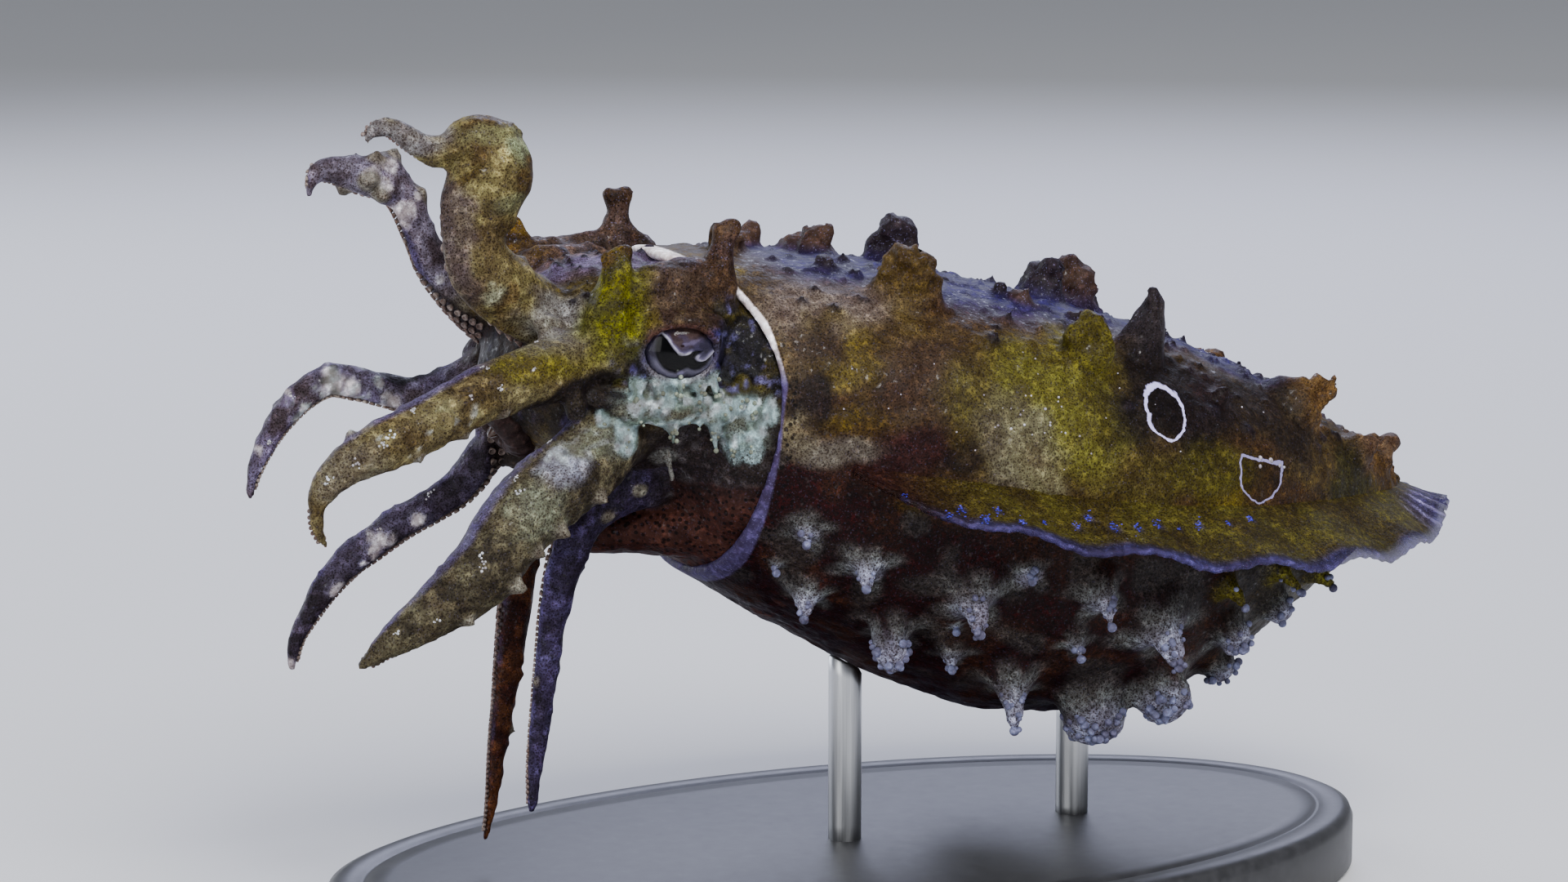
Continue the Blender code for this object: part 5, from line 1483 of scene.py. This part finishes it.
# Patches of the left arms, in the same way.
ARM_PATCHES = (
    # The first patch is a painted highlight on the top of the bulge of the near first arm.
    ((-30.1, -7.6, 61.4), (1.3, 2, 1.2), (190, 208, 168), 0.85),
    ((-29.7, -7.9, 59.2), (1.0, 2, 1.6), (92, 74, 44), 0.7),
    ((-31.0, -8.0, 57.2), (1.8, 2, 0.7), (146, 152, 118), 0.7),
    ((-31.6, -8.0, 53.6), (1.4, 2, 2.0), (92, 76, 46), 0.7),
    ((-38.6, -6.4, 62.3), (3.6, 2, 1.6), (160, 160, 168), 0.8),
    ((-35.2, -7.4, 54.8), (1.4, 3, 3.8), (118, 104, 110), 0.65),
    ((-34.4, -7.6, 50.2), (1.5, 3, 2.4), (100, 88, 92), 0.6),
    ((-32.4, -8.0, 53.6), (1.5, 3, 2.6), (156, 146, 106), 0.6),
    ((-32.4, -8.6, 50.6), (0.9, 2, 0.9), (196, 204, 176), 0.8),
    ((-29.4, -13.4, 38.9), (1.9, 2, 1.5), (176, 182, 206), 0.75),
    ((-31.6, -13.4, 36.0), (2.2, 2, 2.0), (150, 160, 140), 0.6),
    ((-27.0, -12.4, 40.2), (2.4, 2, 1.2), (164, 172, 150), 0.7),
    ((-27.2, -8.0, 48.6), (3.0, 3, 2.4), (184, 186, 188), 0.7),
    ((-46.0, -14.0, 39.6), (2.6, 2, 2.6), (150, 146, 132), 0.55),
    ((-30.4, -11.5, 46.6), (4.6, 3, 1.7), (138, 134, 56), 0.8),
    ((-32.2, -7.0, 62.3), (2.6, 2, 0.7), (166, 170, 124), 0.6),
    ((-28.6, -9.0, 47.6), (3.0, 3, 2.2), (158, 156, 132), 0.55),
)


def head_colours(points):
    """The markings of the head, arms and funnel, with painted sheen, rim light and shade."""
    x, y, z = points.T
    rags = mottle(points, 3.0, 41) * 0.55 + mottle(points, 1.2, 42) * 0.45
    colours = np.tile(shade(112, 98, 58), (len(points), 1))
    wash(colours, ease(rags, 0.46, 0.62) * 0.85, (74, 58, 42))
    wash(colours, patchy(points, 1.4, 43, 0.56, 0.76) * 0.75, (150, 146, 112))
    # The top of the head is violet: partly the skin's own violet, partly a painted sheen of light from above.
    top = ease(z + 2.0 * (rags - 0.5) - 0.22 * np.abs(y), 49.4, 50.8) * ease(x, -28.5, -26)
    far = ease(x, -17.5, -19.5) * ease(y + 2.0 * (rags - 0.5), 0.0, 1.4) * top
    wash(colours, top, (138, 124, 164))
    wash(colours, far, (132, 108, 104))
    wash(colours, far * ease(x, -22, -25) * patchy(points, 1.1, 46, 0.35, 0.6), (122, 98, 52))
    # Darker under the head towards the funnel: painted shade.
    under = ease(z + 1.6 * (rags - 0.5), 41.4, 39.9) * ease(x, -26, -23)
    wash(colours, under * 0.95, (52, 43, 46))
    wash(colours, under * patchy(points, 0.7, 98, 0.6, 0.76) * 0.6, (104, 100, 104))
    for side in (-1, 1):
        for centre, radius, tint, strength in HEAD_PATCHES:
            wash(colours, strength * blot(points, on_side(centre, side), radius, 0.35, 0.8, 50 + side), tint)
        u, v, d = eye_view(points, side)
        ring = np.hypot(u / (OPENING[0] + 0.9), v / (OPENING[1] + 0.9))
        mask = ease(d, 0.2, 1.4) * ease(ring + 0.5 * (rags - 0.5), 1.75, 1.25)
        mask = mask * ease(v, 2.4, 1.4) * ease(v, -2.9, -1.9)
        wash(colours, mask * 0.92, (24, 21, 38))
        wash(colours, mask * patchy(points, 0.6, 47, 0.56, 0.72) * 0.75, (84, 78, 150))
        wash(colours, mask * patchy(points, 0.4, 44, 0.66, 0.8) * 0.8, (142, 140, 196))
        lid = ease(v + 0.12 * u, 1.1, 1.8) * ease(d, 1.5, 2.5) * ease(np.abs(u), 4.2, 3.2) * ease(v, 4.2, 3.0)
        wash(colours, lid * 0.9, (96, 78, 60))
        wash(colours, lid * patchy(points, 0.7, 48, 0.5, 0.7) * 0.7, (62, 44, 40))
        wash(colours, lid * patchy(points, 0.9, 45, 0.55, 0.75) * 0.8, (128, 116, 62))
        slit = np.hypot(u / OPENING[0], v / OPENING[1])
        edge = ease(np.abs(slit - 1.12), 0.16, 0.06) * ease(d, 1.5, 2.5)
        wash(colours, edge * ease(v, 1.2, 0.0) * 0.6, (104, 100, 128))
        sill = ease(slit, 1.24, 1.14) * ease(d, 0.5, 1.5)
        wash(colours, sill * ease(v, -0.4, -1.5) * 0.85, (168, 170, 184))
        wash(colours, edge * ease(v, 0.4, 1.4) * 0.7, (128, 92, 84))
    away, which, s, facing, outward = along_arms(points)
    dots = np.full(len(points), 0.9)
    glints = np.full(len(points), 0.2)
    for index, name in enumerate(arms):
        *tints, rim_light_way, rim = ARM_LOOKS[name]
        outer, blotch, inner = (shade(*tint) for tint in tints)
        mine = (which == index) * ease(away, 1.9, 1.45)
        grown = mine * ease(s + 1.5 * (rags - 0.5), 4.5, 9.0)
        wash(colours, grown, outer)
        wash(colours, grown * patchy(points, 2.0, 60 + index, 0.46, 0.64) * 0.9, blotch)
        wash(colours, grown * patchy(points, 0.9, 80 + index, 0.58, 0.76) * 0.7, outer * 1.8)
        wash(colours, grown * patchy(points, 0.8, 100 + index, 0.6, 0.76) * 0.6, blotch * 0.6)
        mouthward = ease(facing, 0.3, 0.55)
        wash(colours, mine * ease(s, 1.0, 4.0) * mouthward * 0.9, inner)
        wash(colours, mine * ease(s, 11.0, 6.0) * ease(facing, 0.1, 0.4) * 0.9, (46, 36, 34))
        # The violet edge on the side the look names is a painted rim light, partly the arm's own violet
        # margin.
        violet_rim_light = ease(outward @ np.array(rim_light_way) + 0.1 * (rags - 0.5), 0.84, 0.96) * ease(s, 5.0, 8.0)
        violet_rim_light *= ease(away, 1.35, 1.15)
        wash(colours, grown * violet_rim_light * rim * 0.75, (116, 106, 168))
        glints += 0.2 * grown * violet_rim_light
        dots *= 1 - 0.5 * mine * mouthward
    for centre, radius, tint, strength in ARM_PATCHES:
        wash(colours, strength * blot(points, centre, radius, 0.35, 0.7, 66), tint)
    # Darker between the roots of the arms: painted shade, flecked with violet.
    shade_between_arms = ease(away, 1.25, 1.6) * ease(x, -27.5, -29) * ease(z, 49, 47)
    wash(colours, shade_between_arms * 0.92, (32, 25, 30))
    wash(colours, shade_between_arms * patchy(points, 0.55, 97, 0.56, 0.74) * 0.6, (72, 64, 96))
    for side in (-1, 1):
        # A dark band in the gap beside the second arm on each side: painted shade.
        shaded_gap = Vector((-34.0, 11.0 * side, 41.5)), Vector((-25.0, 11.4 * side, 43.9))
        rows, level, off = near_horn(points, *shaded_gap, 1.25)
        ragged = off + 0.9 * (rags[rows] - 0.5)
        wash(colours, ease(ragged, 1.35, 0.85) * 0.92, (34, 27, 30), rows)
    for *centre, radius in WHITE_SPOTS:
        halo = blot(points, centre, (radius * 1.25, 1.8 + radius, radius * 1.25), 0.5, 0.8, 73)
        wash(colours, halo * 0.45, (176, 172, 210))
        spread = blot(points, centre, (radius * 0.9, 1.6 + radius, radius * 0.9), 0.35, 1.1, 70)
        spread *= 0.45 + 0.55 * patchy(points, 0.33, 71, 0.28, 0.5)
        wash(colours, spread, shade(248, 248, 255) * 1.5)
        dots *= 1 - 0.7 * spread
    pipe = ease(z, 36.4, 35.4) * ease(x, -24.5, -22.5) * ease(away, 0.98, 1.2) * (x > -25)
    wash(colours, pipe, (84, 52, 44))
    wash(colours, pipe * patchy(points, 2.2, 49, 0.5, 0.7) * 0.5, (70, 38, 32))
    wash(colours, pipe * ease(z, 33.8, 35.8) * 0.8, (36, 22, 22))
    fringe = hanging * ease(np.abs(y), 11.2, 12.0) * ease(x, -26, -25) * ease(x, -12.6, -14.0)
    wash(colours, fringe * 0.45, (150, 168, 160))
    for foot, tip, radius, tint in head_marks:
        rows, level, off = near_horn(points, foot, tip, radius)
        wash(colours, ease(off, 1.5, 0.9) * ease(level, -0.1, 0.35) * 0.92, TINTS[tint], rows)
    lace = hanging * ease(colours.sum(axis=1), 0.35, 0.6)
    wash(colours, lace * patchy(points, 0.8, 91, 0.52, 0.68) * 0.7, (96, 108, 86))
    wash(colours, lace * patchy(points, 0.5, 92, 0.55, 0.75) * 0.85, (226, 240, 246))
    behind = ease(x, -17.2, -15.8) * ease(z, 42.4, 43.4) * ease(z, 50.5, 49) * ease(np.abs(y), 8, 10)
    wash(colours, behind * 0.88, (32, 30, 34))
    wash(colours, behind * patchy(points, 1.2, 96, 0.48, 0.64) * 0.85, (84, 78, 38))
    wash(colours, behind * patchy(points, 0.8, 93, 0.56, 0.68) * 0.85, (18, 16, 26))
    wash(colours, behind * patchy(points, 0.5, 94, 0.64, 0.76) * 0.85, (118, 116, 170))
    wash(colours, rugged * patchy(points, 0.9, 95, 0.58, 0.74) * 0.6, (48, 36, 32))
    dots *= 1 - 0.7 * lace
    glints = np.clip(glints + 0.4 * top, 0, 1)
    return colours, np.stack([dots * (1 - pipe), np.maximum(pipe, 0.3 * under), glints], axis=1)


tints, finish = head_colours(points)
keep_values(head_mesh, tint=tints, finish=finish)
head_shape = bmesh.new()
head_shape.from_mesh(head_mesh)
over_head = BVHTree.FromBMesh(head_shape)
head_shape.free()
sparks = []
for *middle, size in GLINTS:
    for _ in range(7):
        near = Vector(middle) + Vector([draw.gauss(0, size * 0.75) for _ in range(3)])
        sparks.append((over_head.find_nearest(near)[0], draw.uniform(0.04, 0.11)))
limbs = [f"{name}_{part}" for name in ARMS for part in ("root", "middle", "tip")]
head_flesh = flesh("moist_head_skin")
show("head_skin", head_mesh, head_flesh, ["head", "funnel", *limbs])
beads("cheek_bumps", head_bumps, shade(176, 188, 170), bead_flesh)
beads("arm_glints", sparks, shade(240, 244, 252) * 1.5, bead_flesh)

# The suckers are small cups in four rows on the side of each arm that faces the mouth, down to its tip.
# One cup is turned as a short sleeve, and copies of it, smaller towards the tip, are joined for each side.
CUP = ((-0.55, 0.62), (0.15, 0.8), (0.62, 1.0), (0.82, 0.94), (0.66, 0.7), (0.3, 0.52))
SUCKER_SHARE = 0.155
SUCKER_LEAST = 0.17
SUCKER_ROWS = (-0.66, -0.22, 0.22, 0.66)
SUCKER_SPACING = 2.25


def tube_mesh(name, rings, sides, put):
    """A closed tube of rings as a mesh of its own."""
    bm = bmesh.new()
    sleeve(bm, rings, sides, put)
    return mesh_of(bm, name)


def cup_put(ring, turn):
    height, radius = CUP[ring]
    return oval(radius, radius, turn, height)


cup_mesh = tube_mesh("cup", len(CUP), 10, cup_put)
draw = random.Random(3)
seats = {"left": [], "right": []}
for name, arm in arms.items():
    for row, sideways in enumerate(SUCKER_ROWS):
        s = 3.4 + 0.3 * (row % 2)
        while s < arm.length - 0.5:
            _, _, oral, across, half, _ = arm.frame(s)
            radius = max(SUCKER_LEAST, half * SUCKER_SHARE) * draw.uniform(0.92, 1.08)
            spot = arm.outside(s, math.acos(sideways * 0.98))
            way = (oral + across * sideways * 0.4).normalized()
            turned = way.to_track_quat("Z", "Y").to_matrix().to_4x4()
            place = Matrix.Translation(spot) @ turned @ Matrix.Scale(radius, 4)
            seats[name.split("_")[2]].append(place)
            s += radius * SUCKER_SPACING
sucker_flesh = flesh("sucker_skin")
for side, places in seats.items():
    mesh = copies(cup_mesh, places)
    points = points_of(mesh)
    colours = np.tile(shade(176, 166, 158), (len(points), 1))
    wash(colours, mottle(points, 3.0, 5) * 0.5, (128, 108, 118))
    keep_values(mesh, tint=colours, finish=np.tile((0.15, 0.0, 0.2), (len(points), 1)))
    show(f"suckers_{side}", mesh, sucker_flesh)

# The mouth: a puckered ring of brown skin, darkened with painted shade, amid the arms, with the beak's dark
# tip in it.
# Both are turned sleeves, the ring pinched into folds and the beak leaning slightly to one side.
MOUTH_PROFILE = (
    (2.7, -0.6), (3.1, 0.2), (3.0, 0.9), (2.6, 1.4), (2.1, 1.7), (1.6, 1.75), (1.2, 1.5), (1.0, 1.0),
    (0.8, 0.2),
)
seat = CROWN_CENTRE + CROWN_AXIS * (MOUTH_SEAT + 0.3)
turn_out = CROWN_AXIS.to_track_quat("Z", "Y")


def mouth_put(ring, turn):
    radius, height = MOUTH_PROFILE[ring]
    pucker = 1 + 0.07 * math.cos(14 * turn) * (1 if 1 < ring < 7 else 0.3)
    return seat + turn_out @ oval(radius * pucker, radius * pucker, turn, height)


mouth_mesh = tube_mesh("mouth", len(MOUTH_PROFILE), 84, mouth_put)
points = points_of(mouth_mesh)
# Painted shade: the ring's tint is darkened to a deep brown.
shaded_brown, few_dots = (np.tile(row, (len(points), 1)) for row in (shade(70, 54, 52), (0.3, 0.0, 0.1)))
keep_values(mouth_mesh, tint=shaded_brown, finish=few_dots)
show("mouth_skin", mouth_mesh, sucker_flesh, ["mouth"])
BEAK = ((0.95, -0.4), (0.95, 0.6), (0.8, 1.2), (0.55, 1.7), (0.25, 2.05), (0.06, 2.2))


def beak_put(ring, turn):
    radius, height = BEAK[ring]
    across = radius * math.cos(turn) + 0.12 * height
    return seat + turn_out @ Vector((across, radius * 0.75 * math.sin(turn), height))


beak_mesh = tube_mesh("beak", len(BEAK), 24, beak_put)
horn, wire, shader, place = new_finish("dark_horn")
grain = wire.ramp(wire.noise(place, 2600.0), (0.012, 0.006, 0.004), (0.06, 0.025, 0.012))
wire.give(shader, {"Base Color": grain, "Roughness": 0.22})
show("beak", beak_mesh, horn)

# Each eye is a ball with a black pupil shaped like a low W, sunk below the iris, under a clear wet cornea.
# The ball is denser towards its front, where the outline of the pupil is pressed in and its rim raised.
# Outline of the pupil in millimetres from the middle of the ball's front: forward, and up.
PUPIL = (
    (1.40, 1.52), (1.02, 1.10), (0.86, 0.84), (0.60, 0.42), (0.30, 0.06), (0.02, -0.11), (-0.38, -0.12),
    (-0.66, -0.02), (-0.82, 0.12), (-1.20, 0.17), (-1.66, 0.10), (-1.42, -0.05), (-1.14, -0.24),
    (-1.06, -0.42), (-1.22, -0.60), (-1.52, -0.68), (-1.84, -0.62), (-2.14, -0.42), (-2.44, -0.16),
    (-2.62, -0.04), (-2.50, -0.30), (-2.26, -0.66), (-1.94, -1.00), (-1.48, -1.25), (-1.06, -1.30),
    (-0.78, -1.22), (-0.50, -1.08), (-0.26, -1.14), (0.02, -1.30), (0.38, -1.44), (0.88, -1.33),
    (1.28, -1.07), (1.60, -0.66), (1.80, -0.20), (1.88, 0.38), (1.78, 0.90), (1.64, 1.26),
)
FLAP_HOLE = (-0.08, 0.58, 0.15, 0.1)
EYE_RINGS = 110
EYE_SIDES = 200


def eye_ball(side):
    middle, forward, out = eye_frame(side)

    def put(ring, turn):
        t = ring / (EYE_RINGS - 1)
        polar = 0.06 + 1.0 * t + 2.06 * max(0.0, t - 0.62) / 0.38 * t
        polar = min(math.pi - 0.02, polar * 0.985)
        reach = EYE_RADIUS * math.sin(polar)
        place = forward * (reach * math.cos(turn)) + Vector((0, 0, reach * math.sin(turn)))
        return middle + place + out * (EYE_RADIUS * math.cos(polar))

    mesh = tube_mesh("eye", EYE_RINGS, EYE_SIDES, put)
    points = points_of(mesh)
    u, v, d = eye_view(points, side)
    outline = np.array(PUPIL)
    gap = np.full(len(points), 9.0)
    lit = np.full(len(points), 9.0)
    inside = np.zeros(len(points), bool)
    for i, ((au, av), (bu, bv)) in enumerate(zip(outline, np.roll(outline, -1, axis=0))):
        du, dv = bu - au, bv - av
        t = np.clip(((u - au) * du + (v - av) * dv) / (du * du + dv * dv), 0, 1)
        near = np.hypot(u - au - t * du, v - av - t * dv)
        gap = np.minimum(gap, near)
        lit = np.minimum(lit, near + (0.0 if i < 7 or 11 < i < 19 else 9.0))
        cross = (av > v) != (bv > v)
        inside ^= cross & (u < au + (v - av) / (dv + 1e-12) * du)
    front = ease(d, 0.5, 1.5)
    gap = np.where(inside, -gap, gap)
    colours = np.tile(shade(66, 62, 80), (len(points), 1))
    flap = ease(v - 0.55 * np.abs(u + 0.1) + 0.6, 0.4, 1.1)
    wash(colours, flap * 0.85, (100, 84, 84))
    wash(colours, ease(v, 0.9, 1.5) * 0.75, (108, 84, 76))
    wash(colours, flap * patchy(points, 0.32, 6, 0.5, 0.7) * 0.6, (62, 50, 58))
    wash(colours, patchy(points, 0.4, 3, 0.45, 0.7) * 0.4, (96, 90, 124))
    wash(colours, ease(gap, 0.6, 0.1) * ease(v, 0.0, -0.8) * 0.8, (168, 164, 190))
    wash(colours, ease(np.hypot(u - 0.05, v + 1.42), 0.3, 0.12), (214, 206, 250))
    rag = 0.16 * (mottle(points, 0.45, 4) - 0.5)
    wash(colours, ease(lit + 1.2 * rag, 0.4, 0.1) * 0.8, (158, 150, 190))
    wash(colours, ease(lit + rag, 0.2, 0.06) * patchy(points, 0.6, 5, 0.2, 0.5), shade(244, 240, 255) * 1.2)
    sparkle = ease(lit + 1.4 * rag, 0.26, 0.04) * patchy(points, 0.5, 5, 0.25, 0.7)
    wash(colours, sparkle * 0.9, (232, 226, 255))
    second = np.abs(v - 0.66 + 0.2 * (u + 0.2)) + 1.2 * rag + np.maximum(0, np.abs(u + 0.75) - 0.6)
    wash(colours, ease(second, 0.2, 0.05) * 0.4, (160, 150, 190))
    hole = np.hypot((u - FLAP_HOLE[0]) / FLAP_HOLE[2], (v - FLAP_HOLE[1]) / FLAP_HOLE[3])
    wash(colours, ease(hole, 1.2, 0.8), (52, 38, 40))
    wash(colours, ease(gap, 0.02, -0.05) * front, (4, 3, 5))
    sink = 0.3 * ease(gap, 0.02, -0.12) * front - 0.07 * ease(gap, 0.24, 0.1) * front * ease(gap, 0.0, 0.05)
    move_to(mesh, points - ((points - np.array(middle)) / EYE_RADIUS) * sink[:, None])
    keep_values(mesh, tint=colours)
    return mesh


iris, wire, shader, place = new_finish("iris")
flecks = wire.span(wire.noise(place, 9000.0, 3.0), 0.35, 0.7, 0.0, 0.4)
tint = wire.mix(flecks, wire.values("tint")["Color"], (0.3, 0.28, 0.34), "MULTIPLY")
wire.give(shader, {"Base Color": tint, "Roughness": 0.5, "Specular IOR Level": 0.0})
cornea, wire, shader, place = new_finish("wet_cornea")
film = wire.nodes.new("ShaderNodeFresnel")
film.inputs["IOR"].default_value = 1.26
smear = wire.span(wire.noise(place, 900.0), 0.3, 0.7, 0.02, 0.06)
wire.give(shader, {"Alpha": film.outputs[0], "Roughness": smear, "Base Color": (1, 1, 1), "Metallic": 1.0})
for side, name in ((-1, "left"), (1, "right")):
    show(f"eye_{name}_ball", eye_ball(side), iris, [f"eye_{name}"])
    bm = bmesh.new()
    ball(bm, eye_frame(side)[0], (EYE_RADIUS + 0.1,) * 3, 5)
    show(f"eye_{name}_cornea", mesh_of(bm, "cornea"), cornea)

# The stand is a flat oval plate in satin black paint with a soft edge, and two short brushed steel rods that
# are let into it and carry the belly. The plate is a flattened disc with a rounded rim and a fine groove.
BASE_RADII = (43.0, 23.0)
ROD_RADIUS = 1.3
ROD_FOOT = 4.7
ROD_LEVELS = (0.0, 0.02, 0.1, 0.2, 0.3, 0.4, 0.5, 0.6, 0.8, 0.9, 0.98, 1.0)
RODS = {"stand_rod_front": -1.0, "stand_rod_rear": 19.0}
PLATE = (
    (-1.0, 0.0), (-0.4, 0.0), (0.0, 0.4), (0.0, 4.0), (-0.3, 4.7), (-1.0, 5.0), (-2.6, 5.0), (-2.8, 4.8),
    (-3.1, 4.8), (-3.3, 5.0), (-5.0, 5.0),
)


def plate_put(ring, turn):
    inset, height = PLATE[ring]
    return oval(BASE_RADII[0] + inset, BASE_RADII[1] + inset, turn, height)


plate_mesh = tube_mesh("plate", len(PLATE), 160, plate_put)


def plain_finish(name, dark, light, scale, roughness, metal, stretch):
    """A made finish: a fine grain between two tints, with its own roughness."""
    made, wire, shader, place = new_finish(name)
    run = wire.nodes.new("ShaderNodeMapping")
    wire.give(run, {"Vector": place, "Scale": stretch})
    grain = wire.noise(run.outputs["Vector"], scale, 5.0)
    spread = wire.nodes.new("ShaderNodeMapRange")
    wire.give(spread, {"Value": grain, "To Min": roughness - 0.08, "To Max": roughness + 0.1})
    wire.give(shader, {
        "Base Color": wire.ramp(grain, dark, light, 0.35, 0.65), "Roughness": spread.outputs["Result"],
        "Normal": wire.bump(grain, 0.15, 0.00003), "Metallic": metal,
    })
    return made


paint = plain_finish(
    "satin_black_paint", (0.018, 0.018, 0.02), (0.03, 0.03, 0.033), 900, 0.42, 0.0, (1, 1, 1))
steel = plain_finish("brushed_steel", (0.42, 0.43, 0.45), (0.62, 0.63, 0.65), 500, 0.32, 1.0, (6, 6, 0.15))
show("stand_plate", plate_mesh, paint, ["stand_base"])
for name, x in RODS.items():

    def rod_put(ring, turn, x=x):
        radius = ROD_RADIUS - (0.2 if ROD_LEVELS[ring] in (0, 1) else 0.0)
        side = radius * math.sin(turn)
        along = x + radius * math.cos(turn)
        half, _, line, belly = between(MANTLE_STATIONS, along)
        drop = (1 - abs(side / half) ** BELLY_SQUARENESS) ** (1 / BELLY_SQUARENESS)
        top = line - (line - belly) * drop - 0.1
        return Vector((along, side, ROD_FOOT + (top - ROD_FOOT) * ROD_LEVELS[ring]))

    show(name + "_steel", tube_mesh(name, len(ROD_LEVELS), 48, rod_put), steel, [name])

# The studio is a plain pale floor, an even grey-blue sky, four soft lamps, and the camera where the
# photograph's is taken to have been. None of it is a part of the model.
bm = bmesh.new()
bmesh.ops.create_grid(bm, x_segments=2, y_segments=2, size=3.0)
floor_mesh = mesh_of(bm, "floor")
floor = linked("studio_floor", floor_mesh)
pale = bpy.data.materials.new("pale_floor")
pale.use_nodes = True
Wires(pale.node_tree).give(
    pale.node_tree.nodes["Principled BSDF"], {"Base Color": (0.7, 0.7, 0.71), "Roughness": 0.7})
floor_mesh.materials.append(pale)
world = bpy.data.worlds.new("studio")
world.use_nodes = True
Wires(world.node_tree).give(
    world.node_tree.nodes["Background"], {"Color": (0.8, 0.84, 0.94), "Strength": 0.34})
bpy.context.scene.world = world
LAMPS_FACE = Vector((0, 0, 0.035))
for name, place, size, power, tint in (
    ("key", (0.0, -0.4, 0.45), 0.3, 4.6, (1.0, 1.0, 1.0)),
    ("fill", (-0.5, -0.25, 0.2), 0.4, 1.6, (1.0, 1.0, 1.0)),
    ("back", (0.25, 0.4, 0.35), 0.3, 1.9, (0.7, 0.74, 1.0)),
    ("far", (-0.25, 0.45, 0.16), 0.4, 2.0, (0.86, 0.9, 1.0)),
):
    lamp = bpy.data.lights.new(name, "AREA")
    lamp.size = size
    lamp.energy = power
    lamp.color = tint
    holder = linked(name, lamp)
    holder.location = place
    holder.rotation_euler = (Vector(place) - LAMPS_FACE).to_track_quat("Z", "Y").to_euler()
TARGET = Vector((-6.2, 0.0, 36.9))
AZIMUTH, ELEVATION, DISTANCE = math.radians(-24), math.radians(10), 333.3
level = math.cos(ELEVATION)
back = Vector((math.sin(AZIMUTH) * level, -math.cos(AZIMUTH) * level, math.sin(ELEVATION)))
right = Vector((math.cos(AZIMUTH), math.sin(AZIMUTH), 0.0))
lens_data = bpy.data.cameras.new("camera")
lens_data.lens = 100
lens_data.sensor_width = 36
lens_data.clip_start = 0.01
camera = linked("camera", lens_data)
spot = Matrix.Translation((TARGET + back * DISTANCE) * MM)
camera.matrix_world = spot @ Matrix((right, back.cross(right), back)).transposed().to_4x4()
bpy.context.scene.camera = camera
